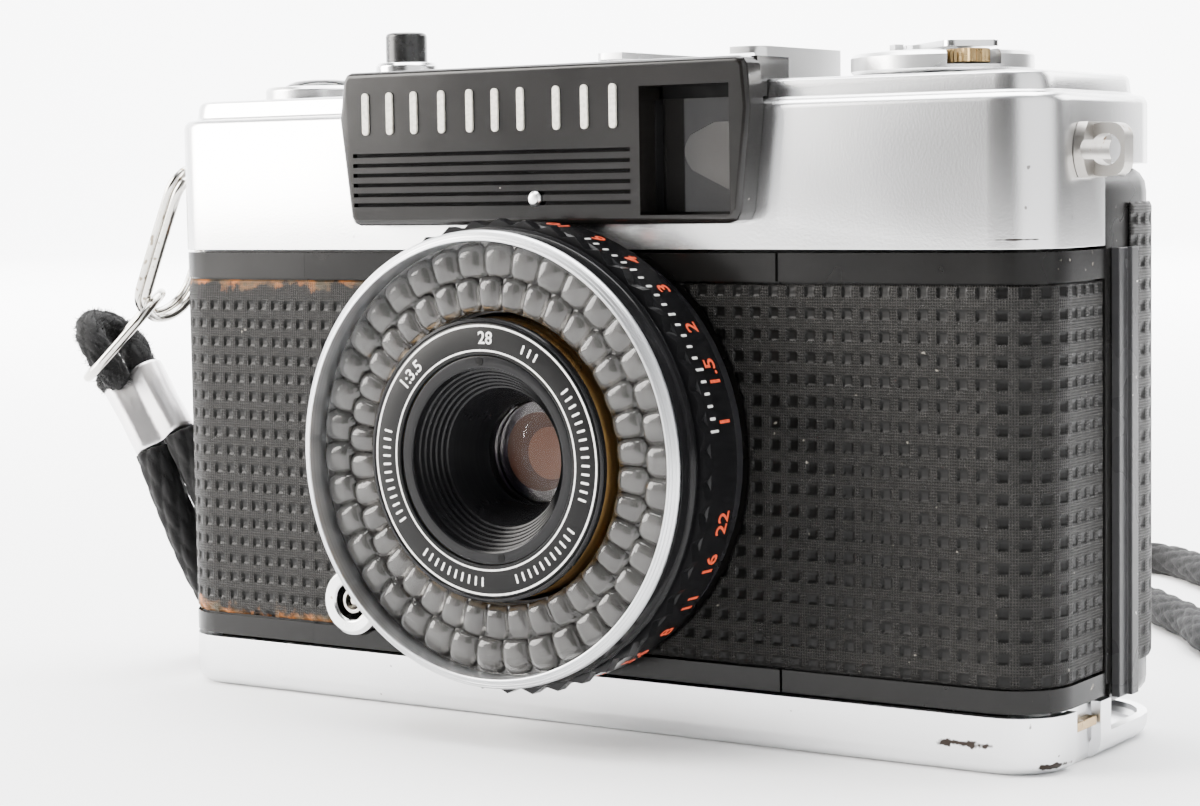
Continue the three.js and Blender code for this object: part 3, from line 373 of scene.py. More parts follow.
LOOK = {
    "cover": satin_metal("satin_cover", (0.84, 0.84, 0.845), (0.78, 0.78, 0.785), (0.22, 0.28),
                         [((50.2, 1.6, 50.3), (1.9, 2.0, 0.09)), ((-53.0, 1.5, 55.0), (0.9, 1.4, 0.7))]),
    "plate": satin_metal("satin_plate", (0.83, 0.835, 0.845), (0.76, 0.765, 0.775), (0.26, 0.34),
                         [((45.4, 0.0, 2.9), (2.2, 4.0, 0.42)), ((52.6, 3.6, 0.9), (2.0, 2.0, 0.3))]),
    "deck": satin_metal("satin_deck", (0.84, 0.84, 0.84), (0.79, 0.79, 0.79), (0.24, 0.31)),
    "lug": finish("lug_metal", (0.42, 0.408, 0.388), (0.27, 0.25, 0.225), (0.3, 0.42), 1.0, 1800.0,
                  0.006, ((0.2, 0.12, 0.06), 0.72)),
    "chrome": finish("bright_chrome", (0.86, 0.86, 0.86), (0.78, 0.78, 0.775), (0.12, 0.2), 1.0, 1500.0,
                     0.003, ((0.35, 0.28, 0.2), 0.76)),
    "wire": finish("nickel_wire", (0.66, 0.64, 0.6), (0.4, 0.385, 0.355), (0.1, 0.2), 1.0, 1800.0,
                   0.006, ((0.2, 0.17, 0.13), 0.66)),
    "crimp": finish("crimp_plate", (0.83, 0.81, 0.815), (0.77, 0.75, 0.755), (0.3, 0.4), 1.0, 2500.0,
                    0.0008, ((0.4, 0.38, 0.36), 0.78)),
    "gloss": worn_paint("gloss_black", (0.0045, 0.0043, 0.0041), (0.15, 0.24), (0.3, 0.275, 0.25),
                        (51.9, 53.0, 0.4)),
    "hood": hood_paint(),
    "cast": worn_paint("casting_paint", (0.0045, 0.0043, 0.0041), (0.16, 0.26), (0.32, 0.28, 0.23),
                       (50.5, 54.2, 0.13)),
    "latch": worn_paint("latch_paint", (0.028, 0.028, 0.029), (0.2, 0.32), (0.55, 0.53, 0.5),
                        (54.75, 55.45, 0.14)),
    "door": worn_paint("door_paint", (0.007, 0.0068, 0.0065), (0.2, 0.34), (0.4, 0.37, 0.33),
                       (53.2, 54.2, 0.11)),
    "anodised": turned_metal("black_anodised", (0.012, 0.012, 0.013), (0.03, 0.03, 0.032),
                             (0.25, 0.36), 2200.0, 0.003, 0.0, Specular_IOR_Level=0.4),
    "throat": turned_metal("throat_black", (0.004, 0.004, 0.0045), (0.009, 0.009, 0.0095),
                           (0.16, 0.26), 2600.0, 0.002, 0.0, Specular_IOR_Level=0.14),
    "ring": turned_metal("ring_black", (0.0045, 0.0045, 0.005), (0.0095, 0.0095, 0.01), (0.14, 0.24),
                         1800.0, 0.002, 0.0, Specular_IOR_Level=0.15),
    "name": turned_metal("name_black", (0.003, 0.003, 0.003), (0.006, 0.006, 0.006), (0.3, 0.4),
                         1800.0, 0.002, 0.0, Specular_IOR_Level=0.12),
    "turned": turned_metal("turned_chrome", (0.68, 0.69, 0.705), (0.38, 0.39, 0.405), (0.3, 0.42),
                           4200.0, 0.014),
    "brass": turned_metal("aged_brass", (0.58, 0.36, 0.13), (0.26, 0.14, 0.045), (0.25, 0.4),
                          1500.0, 0.01),
    "grip_brass": finish("knurled_brass", (0.52, 0.37, 0.18), (0.3, 0.2, 0.09), (0.25, 0.38), 1.0,
                         1500.0, 0.008),
    "plastic": finish("black_plastic", (0.012, 0.012, 0.012), (0.008, 0.008, 0.008), (0.2, 0.3),
                      0.0, 1600.0, 0.004),
    "steel": finish("blade_steel", (0.05, 0.05, 0.055), (0.025, 0.025, 0.028), (0.25, 0.4), 0.8),
    "leather": leather_cloth("leatherette", False),
    "leather_old": leather_cloth("leatherette_stained", True),
    "bubbles": bubble_plastic("bubble_window"),
    "cell": finish("meter_cell", (0.12, 0.115, 0.108), (0.06, 0.057, 0.053), (0.3, 0.5), 0.0, 600.0,
                   0.01, ((0.2, 0.12, 0.05), 0.68)),
    "glass": glass("coated_glass", (0.97, 0.95, 0.94), (0.0, 0.03), 1.14),
    "amber": finish("amber_coating", (0.06, 0.022, 0.012), (0.036, 0.013, 0.007), (0.3, 0.45), 0.0,
                    300.0, 0.001, Specular_IOR_Level=0.2),
    "amber_light": finish("amber_reflection", (0.15, 0.06, 0.033), (0.1, 0.04, 0.021), (0.3, 0.45),
                          0.0, 300.0, 0.001, Specular_IOR_Level=0.2),
    "near_black_and_hole_shade": finish("near_black_and_painted_hole_shade", (0.002, 0.002, 0.002), (0.001, 0.001, 0.001), (0.5, 0.7), 0.0, 900.0,
                   0.001, Specular_IOR_Level=0.1),
    "violet": finish("violet_coating", (0.014, 0.01, 0.02), (0.006, 0.004, 0.009), (0.08, 0.16), 0.0,
                     300.0, 0.001),
    "pane": finish("finder_pane", (0.014, 0.0133, 0.0126), (0.009, 0.0085, 0.008), (0.05, 0.1), 0.0,
                   2200.0, 0.0005, ((0.2, 0.19, 0.18), 0.79), Specular_IOR_Level=0.5),
    "optic": finish("finder_painted_reflection", (0.062, 0.059, 0.056), (0.035, 0.033, 0.031), (0.08, 0.14), 0.0,
                    300.0, 0.001, ((0.16, 0.15, 0.14), 0.74)),
    "clear": glass("clear_cover", (0.95, 0.95, 0.95), (0.01, 0.05), 1.49),
    "ivory": enamel_paint("ivory_paint", (0.72, 0.69, 0.6)),
    "white": enamel_paint("white_paint", (0.82, 0.81, 0.78)),
    "red": enamel_paint("red_paint", (0.78, 0.09, 0.03)),
}


# ---- mesh helpers -----------------------------------------------------------------------------
def add_piece(name, points, faces, look, body, slot=None, replaces=(), smooth=True, attribute=None):
    """A mesh drawn in millimetres, which rides on body."""
    mesh = bpy.data.meshes.new(name)
    mesh.from_pydata(placed(points).tolist(), [], [list(map(int, f)) for f in faces])
    mesh.update()
    mesh.polygons.foreach_set("use_smooth", [smooth] * len(mesh.polygons))
    if attribute is not None:
        stored = mesh.attributes.new("weave", "FLOAT_VECTOR", "POINT")
        stored.data.foreach_set("vector", np.asarray(attribute, np.float32).ravel())
    mesh.materials.append(LOOK[look])
    piece = linked(name, mesh)
    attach(piece, body)
    if replaces:
        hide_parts(*replaces)
    return piece


def node_body(node):
    return NODES[node]["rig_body"]


def node_slot(node):
    return NODES[node].data.materials[0].name.split(".")[0]


def grid_faces(rows, columns, wrap_rows=False, wrap_columns=False):
    """Quads over a rows-by-columns lattice of points."""
    last_row = rows if wrap_rows else rows - 1
    last_column = columns if wrap_columns else columns - 1
    i, j = np.meshgrid(np.arange(last_row), np.arange(last_column), indexing="ij")
    i2, j2 = (i + 1) % rows, (j + 1) % columns
    quads = np.stack([i * columns + j, i * columns + j2, i2 * columns + j2, i2 * columns + j], -1)
    return quads.reshape(-1, 4)


def prism_faces(count):
    """Two ends and the sides between two outlines of count points each."""
    ends = [list(range(count)), [count + i for i in range(count)][::-1]]
    return ends + [[i, count + i, count + (i + 1) % count, (i + 1) % count] for i in range(count)]


def plate(name, outline, depths, look, slot="coated_glass", replaces=()):
    """A flat piece from its (x, z) outline, between two depths."""
    points = [(x, y, z) for y in depths for x, z in outline]
    return add_piece(name, points, prism_faces(len(outline)), look, "camera_body", slot, replaces,
                     smooth=False)


def mark_creases(mesh, degrees):
    bm = bmesh.new()
    bm.from_mesh(mesh)
    bmesh.ops.recalc_face_normals(bm, faces=bm.faces)
    limit = math.radians(degrees)
    for edge in bm.edges:
        edge.smooth = not (edge.is_manifold and edge.calc_face_angle(0) > limit)
    bm.to_mesh(mesh)
    bm.free()


def bevelled(piece, width, segments=2, angle=32):
    made = piece.modifiers.new("edges", "BEVEL")
    made.width = width * MM
    made.segments = segments
    made.limit_method = "ANGLE"
    made.angle_limit = math.radians(angle)
    made.harden_normals = True


def round_hood(bm):
    """Gives the hood's front outline the soft roll of thick enamel."""
    def outer(vert):
        x, y, z = vert.co / MM
        inside = HOOD_XS[0] <= x <= HOOD_XS[1] and HOOD_ZS[0] <= z <= HOOD_ZS[1]
        return abs(y + FRONT_Y - HOOD_FACE) < 0.01 and not inside

    rim = [e for e in bm.edges if all(outer(v) for v in e.verts) and e.calc_face_angle(0) > 0.5]
    bmesh.ops.bevel(bm, geom=rim, offset=HOOD_ROLL * MM, segments=4, profile=0.5, affect="EDGES",
                    clamp_overlap=False)


def refined(node, look, bevel=0.12, segments=2, angle=32):
    """The CAD node's own shape again, with merged faces, softened edges and a finish."""
    mesh = bpy.data.meshes.new(node + "_skin")
    bm = bmesh.new()
    bm.from_mesh(NODES[node].data)
    bmesh.ops.remove_doubles(bm, verts=bm.verts, dist=0.002 * MM)
    bmesh.ops.dissolve_limit(bm, angle_limit=math.radians(0.6), verts=bm.verts, edges=bm.edges)
    if node == "viewfinder_hood":
        round_hood(bm)
    for face in bm.faces:
        face.smooth = True
    bm.to_mesh(mesh)
    bm.free()
    mark_creases(mesh, angle)
    mesh.materials.append(LOOK[look])
    piece = linked(node + "_skin", mesh)
    if bevel:
        bevelled(piece, bevel, segments, angle)
    if node == "viewfinder_hood":
        even = piece.modifiers.new("even_faces", "WEIGHTED_NORMAL")
        even.keep_sharp = True
        even.weight = 100
    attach(piece, node_body(node))
    node_slot(node)
    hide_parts(node)
    return piece


def lathe(name, profile, look, node=None, segments=240, body=None, slot=None):
    """A closed profile of (radius, y) turned about the lens axis."""
    radius, depth = np.asarray(profile, float).T
    turn = np.arange(segments)[:, None] * TAU / segments
    points = about_lens(radius, turn, depth)
    faces = grid_faces(segments, len(profile), True, True)
    piece = add_piece(name, points, faces, look, body or node_body(node),
                      slot or (node_slot(node) if node else None), (node,) if node else ())
    merge_and_close(piece.data)
    mark_creases(piece.data, 28)
    return piece


def merge_and_close(mesh):
    bm = bmesh.new()
    bm.from_mesh(mesh)
    bmesh.ops.remove_doubles(bm, verts=bm.verts, dist=0.001 * MM)
    bmesh.ops.recalc_face_normals(bm, faces=bm.faces)
    bm.to_mesh(mesh)
    bm.free()


def distances_along(path):
    """Each point's distance from the first, along the path."""
    return np.concatenate([[0], np.cumsum(np.linalg.norm(np.diff(path, axis=0), axis=1))])


def end_caps(total, sides):
    """The two end faces of a tube of so many points."""
    return [list(range(sides))[::-1], [total - sides + i for i in range(sides)]]


def tube(path, radius, sides, closed=False, relief=None):
    """Points and faces of a tube round a path; relief(turn, distance) is added to its radius."""
    path = np.asarray(path, float)
    ahead = np.roll(path, -1, 0) - np.roll(path, 1, 0)
    if not closed:
        ahead[0], ahead[-1] = path[1] - path[0], path[-1] - path[-2]
    ahead /= np.linalg.norm(ahead, axis=1)[:, None]
    side = np.zeros_like(path)
    start = np.cross(ahead[0], (0.3, 0.2, 1.0))
    side[0] = start / np.linalg.norm(start)
    for i in range(1, len(path)):
        kept = side[i - 1] - ahead[i] * np.dot(side[i - 1], ahead[i])
        side[i] = kept / np.linalg.norm(kept)
    if closed:
        final = side[-1] - ahead[0] * np.dot(side[-1], ahead[0])
        final /= np.linalg.norm(final)
        slip = math.atan2(np.dot(np.cross(final, side[0]), ahead[0]), np.dot(final, side[0]))
        turn_back = np.linspace(0, slip, len(path))
        cross = np.cross(ahead, side)
        side = side * np.cos(turn_back)[:, None] + cross * np.sin(turn_back)[:, None]
    cross = np.cross(ahead, side)
    turn = np.arange(sides) * TAU / sides
    distance = distances_along(path)
    reach = np.full((len(path), sides), float(radius))
    if relief is not None:
        reach = reach + relief(turn[None, :], distance[:, None])
    ring = (side[:, None, :] * np.cos(turn)[None, :, None]
            + cross[:, None, :] * np.sin(turn)[None, :, None])
    points = (path[:, None, :] + ring * reach[..., None]).reshape(-1, 3)
    faces = grid_faces(len(path), sides, closed, True).tolist()
    return points, faces if closed else faces + end_caps(len(points), sides)


def smooth_curve(points, count, closed=False):
    """Centripetal Catmull-Rom through the points, evenly spaced along its length."""
    points = np.asarray(points, float)
    if closed:
        rows = np.vstack([points[-1], points, points[:2]])
    else:
        rows = np.vstack([2 * points[0] - points[1], points, 2 * points[-1] - points[-2]])
    dense = []
    for p0, p1, p2, p3 in zip(rows, rows[1:], rows[2:], rows[3:]):
        t = np.cumsum([0] + [max(np.linalg.norm(b - a), 1e-6) ** 0.5
                             for a, b in ((p0, p1), (p1, p2), (p2, p3))])
        s = np.linspace(t[1], t[2], 33)[:-1, None]
        a1 = (t[1] - s) / t[1] * p0 + s / t[1] * p1
        a2 = (t[2] - s) / (t[2] - t[1]) * p1 + (s - t[1]) / (t[2] - t[1]) * p2
        a3 = (t[3] - s) / (t[3] - t[2]) * p2 + (s - t[2]) / (t[3] - t[2]) * p3
        b1 = (t[2] - s) / t[2] * a1 + s / t[2] * a2
        b2 = (t[3] - s) / (t[3] - t[1]) * a2 + (s - t[1]) / (t[3] - t[1]) * a3
        dense.append((t[2] - s) / (t[2] - t[1]) * b1 + (s - t[1]) / (t[2] - t[1]) * b2)
    dense = np.vstack([*dense, rows[1] if closed else rows[-2]])
    steps = distances_along(dense)
    wanted = np.linspace(0, steps[-1], count + (1 if closed else 0))
    even = np.stack([np.interp(wanted, steps, dense[:, i]) for i in range(3)], -1)
    return (even[:-1] if closed else even), steps[-1]


# ---- wrist strap: the cord first ----------------------------------------------------------------
CORD_RADIUS = 2.1
CORD_FLOOR = CORD_RADIUS + 0.06
CORD_FALLS = [
    (-66.5, 10.3, 25.1), (-64.9, 10.4, 21.4), (-63.4, 10.9, 17.4), (-62.2, 11.9, 13.3),
    (-61.5, 13.8, 9.1), (-61.2, 16.6, 5.4), (-61, 20.3, 2.9),
]
CORD_LIES = [
    (-60.8, 24.8), (-59.4, 32), (-50, 58), (-37, 88), (-20, 117), (-2, 130), (13, 129.5),
    (26, 117.5), (45, 97), (50.2, 92.3), (55.8, 88.7), (60.5, 84.9), (63.2, 79.8), (62.9, 73.9),
    (60.2, 69.2), (55.3, 66.5), (49.5, 66.4), (44.4, 69.1), (40.7, 73.9), (37.2, 79.6),
    (32.6, 84.9), (24, 94), (5, 104), (-15, 98), (-32, 78), (-44, 54), (-53, 36), (-56.3, 24.8),
]
CORD_RISES = [
    (-56.5, 20.3, 2.9), (-56.6, 16.6, 5.4), (-56.9, 14.3, 9.6), (-57.9, 13.2, 14.2),
    (-59.4, 12.6, 18.8), (-61.2, 12.1, 23.1), (-63.25, 11.7, 27.3),
]
CORD_ROUTE = CORD_FALLS + [(x, y, CORD_FLOOR) for x, y in CORD_LIES] + CORD_RISES
WIRE = 0.55
EYE = (-56.25, 9.35, 58.5)
RING_ALONG = (-0.469, 0.086, -0.879)
LINK_CENTRE = (-67.6, 7.2, 39.1)
LINK_ALONG = (-0.622, -0.293, -0.726)
LINK_ACROSS = (-0.565, 0.81, 0.158)
CRIMP_TOP = (-70.2, 11, 33.9)
CRIMP_ALONG = (0.567, 0, -0.824)
CRIMP_ACROSS = (0.777, 0.333, 0.534)
CRIMP_LENGTH = 9.3
LOOP_ROUTE = [
    (6.2, 4.8, 3.5), (6.7, 4.6, 2.5), (5.6, 3.0, 2.6), (4.6, 1.2, 1.5), (3.9, 0.4, -0.4),
    (3.4, 1.4, -2.4), (2.9, 3.8, -3.6), (2.4, 6.2, -2.6), (2.1, 7.1, -0.4), (2.1, 6.4, 1.8),
    (2.5, 5.0, 3.3), (2.9, 4.4, 4.4),
]
LOOP_RADIUS = 1.75


def directions(along, across):
    u = np.array(along, float) / np.linalg.norm(along)
    n = np.cross(u, across)
    n /= np.linalg.norm(n)
    return np.array([u, np.cross(n, u), n])


def braid(strands, pitch, depth):
    """Relief of a braided cord: diamonds where the two sets of strands cross."""
    def relief(turn, distance):
        p = (strands * turn + TAU * distance / pitch) / TAU
        q = (strands * turn - TAU * distance / pitch) / TAU
        fp, fq = p % 1 * 2 - 1, q % 1 * 2 - 1
        over = (np.floor(p) + np.floor(q)) % 2
        wide = np.where(over > 0.5, fp, fq)
        narrow = np.where(over > 0.5, fq, fp)
        return depth * ((1 - np.abs(wide) ** 2.4) * (1 - 0.6 * np.abs(narrow) ** 4) - 0.75)
    return relief


def cord_cloth(name, light, dark):
    n = Nodes(name)
    fibre = n.noise(2600.0, 3.0, 0.7)
    tone = n.noise(300.0, 3.0)
    color = n.mix(n.spread(fibre, 0.0, 1.0), dark, light)
    color = n.mix(n.spread(tone, 0.0, 0.4), color, dark)
    n.set(Base_Color=color, Roughness=n.spread(fibre, 0.75, 0.95), Sheen_Weight=0.05,
          Sheen_Roughness=0.5, Specular_IOR_Level=0.25, Normal=n.bump(fibre, 0.06 * MM))
    return n.material


LOOK["cord"] = cord_cloth("braided_cord", (0.0075, 0.0075, 0.008), (0.0022, 0.0022, 0.0023))
LOOK["loop"] = cord_cloth("brushed_cord", (0.0085, 0.0085, 0.009), (0.0025, 0.0025, 0.0025))


def strand(name, path, radius, sides, look, slot, node, closed=False, relief=None):
    """A tube along a path, as one piece of the strap."""
    points, faces = tube(path, radius, sides, closed, relief)
    return add_piece(name, points, faces, look, "camera_body", slot, (node,))


def make_strap():
    cord_path, cord_length = smooth_curve(CORD_ROUTE, 1500)
    cord = strand("strap_cord_braid", cord_path, CORD_RADIUS, 48, "cord", "cord_fabric", "strap_cord",
                  relief=braid(7, 5.4, 0.34))

    ring_axes = directions(RING_ALONG, (0, 1, 0))
    turn = rounded_rect((-4.1, 4.1), (0, 19.5), 3, 3.9, 8)
    count = len(turn)
    turns = []
    for i in range(round(0.14 * count), round(1.86 * count) + 1):
        across, along = turn[i % count]
        t = min(max((i / count - 0.9) / 0.2, 0), 1)
        turns.append((along, across, -0.6 + 1.2 * t * t * (3 - 2 * t)))
    ring_path, _ = smooth_curve(np.array(turns) @ ring_axes + EYE, 420)
    ring = strand("strap_ring_wire", ring_path, WIRE, 20, "wire", "ring_wire", "strap_ring")

    link_axes = directions(LINK_ALONG, LINK_ACROSS)
    outline = rounded_rect((-6.7, 6.7), (-4.0, 4.0), 3.99, 3.99, 10)
    link_path, _ = smooth_curve(
        np.array([(a, b, 0) for a, b in outline]) @ link_axes + LINK_CENTRE, 220, True)
    link = strand("strap_link_wire", link_path, WIRE, 20, "wire", "ring_wire", "strap_link", True)

    loop_path, _ = smooth_curve(np.array(LOOP_ROUTE) @ link_axes + LINK_CENTRE, 260)
    lumps = np.random.default_rng(11)
    phases = lumps.uniform(0, TAU, 24)

    def brushed(turn_angle, distance):
        total = 0.0
        for k, phase in enumerate(phases):
            total = total + np.sin((2 + k) * turn_angle + (0.7 + 0.5 * k) * distance + phase) / (4 + k)
        return 0.13 * total + braid(6, 4.6, 0.22)(turn_angle, distance)

    loop = strand("strap_loop_cord", loop_path, LOOP_RADIUS, 64, "loop", "cord_fabric", "strap_loop",
                  relief=brushed)
    fuzz = make_fuzz(loop_path, LOOP_RADIUS)
    crimp = make_crimp()


def make_fuzz(path, radius):
    """Short fibres standing off the brushed loop of cord."""
    random = np.random.default_rng(5)
    count = 2800
    points, faces = [], []
    ahead = np.gradient(path, axis=0)
    ahead /= np.linalg.norm(ahead, axis=1)[:, None]
    for _ in range(count):
        i = random.integers(3, len(path) - 3)
        out = random.normal(size=3)
        out -= ahead[i] * np.dot(out, ahead[i])
        out /= np.linalg.norm(out)
        lean = ahead[i] * random.uniform(-1, 1) + 0.4 * random.normal(size=3)
        base = path[i] + out * (radius - 0.12)
        length = random.uniform(0.25, 0.85)
        bend = base + (out + 0.35 * lean) * length * 0.5
        tip = base + (out * 0.55 + lean * 0.8) * length
        side = np.cross(out, ahead[i])
        first = len(points)
        for place, width in ((base, 0.035), (bend, 0.028), (tip, 0.012)):
            points += [place + side * width, place - side * width * 0.5 + ahead[i] * width * 0.9,
                       place - side * width * 0.5 - ahead[i] * width * 0.9]
        for level in (0, 3):
            for k in range(3):
                faces.append([first + level + k, first + level + (k + 1) % 3,
                              first + level + 3 + (k + 1) % 3, first + level + 3 + k])
        faces.append([first + 2, first + 1, first])
        faces.append([first + 6, first + 7, first + 8])
    return add_piece("strap_loop_fuzz", points, faces, "loop", "camera_body", "cord_fabric")


def make_crimp():
    """Sheet metal pressed round the two cords: two barrels with a groove between them."""
    barrel, half_gap = 2.15, 1.85
    outline = []
    for side in (1, -1):
        for step in range(17):
            angle = math.radians(side * (-90 + 11.25 * step))
            outline.append((side * (half_gap + barrel * math.cos(angle)), barrel * math.sin(angle)))
        outline.append((0.3 * side, 1.25 * side))
        outline.append((-0.3 * side, 1.25 * side))
    outline = np.array(outline)
    levels = [(0.0, 0.93), (0.18, 0.99), (0.5, 1.0), (3.0, 0.99), (4.6, 0.975), (6.3, 0.99),
              (CRIMP_LENGTH - 0.5, 1.0), (CRIMP_LENGTH - 0.18, 0.99), (CRIMP_LENGTH, 0.93)]
    along, across, normal = directions(CRIMP_ALONG, CRIMP_ACROSS)
    points = []
    for height, size in levels:
        points += [np.array(CRIMP_TOP) + across * a * size + normal * b * size + along * height
                   for a, b in outline]
    faces = grid_faces(len(levels), len(outline), False, True).tolist()
    faces += end_caps(len(points), len(outline))
    piece = add_piece("strap_crimp_plate", points, faces, "crimp", "camera_body", "crimp_metal",
                      ("strap_crimp",))
    mark_creases(piece.data, 50)
    return piece


def rounded_rect(xs, ys, front, rear=None, steps=6):
    """Corners anticlockwise from the lower right; front and rear corners may differ."""
    rear = front if rear is None else rear
    (x0, x1), (y0, y1) = xs, ys
    corners = [(x1 - front, y0 + front, front, -90), (x1 - rear, y1 - rear, rear, 0),
               (x0 + rear, y1 - rear, rear, 90), (x0 + front, y0 + front, front, 180)]
    points = []
    for cx, cy, radius, start in corners:
        for i in range(steps + 1):
            angle = math.radians(start + 90 * i / steps)
            points.append((cx + radius * math.cos(angle), cy + radius * math.sin(angle)))
    return points


make_strap()


# ---- leatherette: embossed cloth, wrapped round the body ----------------------------------------
FRONT_CORNER = 6.0
REAR_CORNER = 8.0
BODY_DEPTH = 30.6
EMBOSS = 0.2
EDGE_TUCK = 0.45                # the width over which a sheet's edge turns in
PITCH_RIGHT = (2.02, 2.14)
PITCH_LEFT = (1.77, 2.04)
ROW_RISE = 0.63
PLAIN_STRIP = (1.7, 2.1)        # no dimples this close to the left sheet's upper edge


def smoothstep(low, high, value):
    t = np.clip((value - low) / (high - low), 0, 1)
    return t * t * (3 - 2 * t)


def emboss(along, up, pitch):
    """Height from 0 to 1 of cloth with rows of small square dimples, deeper to one side."""
    fu = (along / pitch[0]) % 1 - 0.5
    fv = (up / pitch[1]) % 1 - 0.5
    square = smoothstep(0.33, 0.2, np.abs(fu)) * smoothstep(0.29, 0.18, np.abs(fv))
    return 1 - square * (0.78 - 0.9 * fu + 0.45 * fv)


def body_side(inset):
    """Half outline of the body from its front centre to its rear centre, as dense points."""
    x_side = HALF_WIDTH - inset
    turn = np.linspace(0, math.pi / 2, 40)
    points = [(0.0, inset)]
    r = FRONT_CORNER - inset
    points += [(x_side - r + r * math.sin(a), inset + r - r * math.cos(a)) for a in turn]
    r = REAR_CORNER - inset
    rear = BODY_DEPTH - inset
    points += [(x_side - r + r * math.cos(a), rear - r + r * math.sin(a)) for a in turn]
    points.append((0.0, rear))
    return np.array(points)


def walk(path, distances):
    """Points and outward directions along a path, at distances from its start."""
    steps = distances_along(path)
    at = np.stack([np.interp(distances, steps, path[:, i]) for i in (0, 1)], -1)
    near = [np.stack([np.interp(np.clip(distances + d, 0, steps[-1]), steps, path[:, i])
                      for i in (0, 1)], -1) for d in (-0.05, 0.05)]
    ahead = near[1] - near[0]
    ahead /= np.linalg.norm(ahead, axis=-1, keepdims=True)
    return at, np.stack([ahead[..., 1], -ahead[..., 0]], -1)


def leather_sheet(name, path, start, end, zs, pitch, step, tuck, thick, side=1, hole=None, **piece):
    """Embossed sheet along an outline, from start(z) to end; a side of -1 mirrors it."""
    rows = np.linspace(*zs, round((zs[1] - zs[0]) / step) + 1)
    begin = np.array([start(z) for z in rows])
    columns = round((end - begin.min()) / step)
    share = np.linspace(0, 1, columns + 1)
    along = begin[:, None] + (end - begin)[:, None] * share[None, :]
    up = np.broadcast_to(rows[:, None], along.shape)
    at, out = walk(path, along.ravel())
    edge = np.minimum.reduce([along - begin[:, None], end - along, up - zs[0], zs[1] - up])
    relief = emboss(side * along, up + ROW_RISE, pitch)
    if side < 0:
        relief = 1 - (1 - relief) * smoothstep(zs[1] - PLAIN_STRIP[0], zs[1] - PLAIN_STRIP[1], up)
    height = EMBOSS * relief - tuck * smoothstep(EDGE_TUCK, 0.0, edge)
    flat = at + out * height.reshape(-1, 1)
    points = np.stack([side * flat[:, 0], flat[:, 1], up.ravel()], -1)
    faces = grid_faces(len(rows), columns + 1)
    if hole is not None:
        (hx, hz), radius = hole
        away = np.hypot(points[:, 0] - hx, points[:, 2] - hz)
        near_front = points[:, 1] < 3
        inside = (away < radius) & near_front
        faces = faces[~inside[faces].all(axis=1)]
        pull = np.where(inside, radius / np.maximum(away, 1e-6), 1)[:, None]
        points[:, [0, 2]] = np.array([hx, hz]) + (points[:, [0, 2]] - (hx, hz)) * pull
    if side < 0:
        faces = faces[:, ::-1]
    used = np.unique(faces)
    lookup = np.full(len(points), -1)
    lookup[used] = np.arange(len(used))
    weave = np.stack([along.ravel(), up.ravel(), relief.ravel()], -1)
    sheet = add_piece(name, points[used], lookup[faces], slot="leatherette", attribute=weave[used],
                      **piece)
    thickness = sheet.modifiers.new("thickness", "SOLIDIFY")
    thickness.thickness = thick * MM
    thickness.offset = -1


FLANGE_EDGE = 22.75


def front_start(side):
    """Where the front panel begins: at the round edge of the lens flange."""
    def begin(z):
        reach = math.sqrt(max(FLANGE_EDGE ** 2 - (z - LENS_Z) ** 2, 0))
        return reach + side * LENS_X
    return begin


PANEL_ZS = (8.4, 46.1)
PANEL_BASE = 0.27
SOCKET_HOLE = ((-27.2, 11.3), 3.95)
straight_front = HALF_WIDTH - FRONT_CORNER
round_corner = straight_front + math.pi / 2 * (FRONT_CORNER - PANEL_BASE)
for side, word, past_corner, pitch, look, hole in (
        (1, "right", 7.5, PITCH_RIGHT, "leather", None),
        (-1, "left", 15.6, PITCH_LEFT, "leather_old", SOCKET_HOLE)):
    leather_sheet(
        "leather_" + word, body_side(PANEL_BASE), front_start(side), round_corner + past_corner,
        PANEL_ZS, pitch, 0.17, 0.22, 0.25, side, hole, look=look, body="camera_body",
        replaces=("leatherette_" + word,))


def door_leather():
    """The door's panel: round the latch-side corner, across the back, to the hinge-side corner."""
    base = -0.18
    half = body_side(base)
    path = np.vstack([half, (half * (-1, 1))[::-1][1:]])
    half_length = distances_along(half)[-1]
    corner = math.pi / 2 * (FRONT_CORNER - base)
    start_y, end_y, corner_y = 19.2, 26.2, 22.6
    start = straight_front + corner + (start_y - FRONT_CORNER)
    steep = math.asin((end_y - corner_y) / (REAR_CORNER - base))
    hinge_side = corner_y - FRONT_CORNER + steep * (REAR_CORNER - base)
    end = 2 * half_length - (straight_front + corner + hinge_side)
    leather_sheet("leather_door", path, lambda z: start, end, (8.3, 53.5), PITCH_RIGHT, 0.26, 0.2, 0.2,
                  look="leather", body="door", replaces=("door_leatherette",))


door_leather()


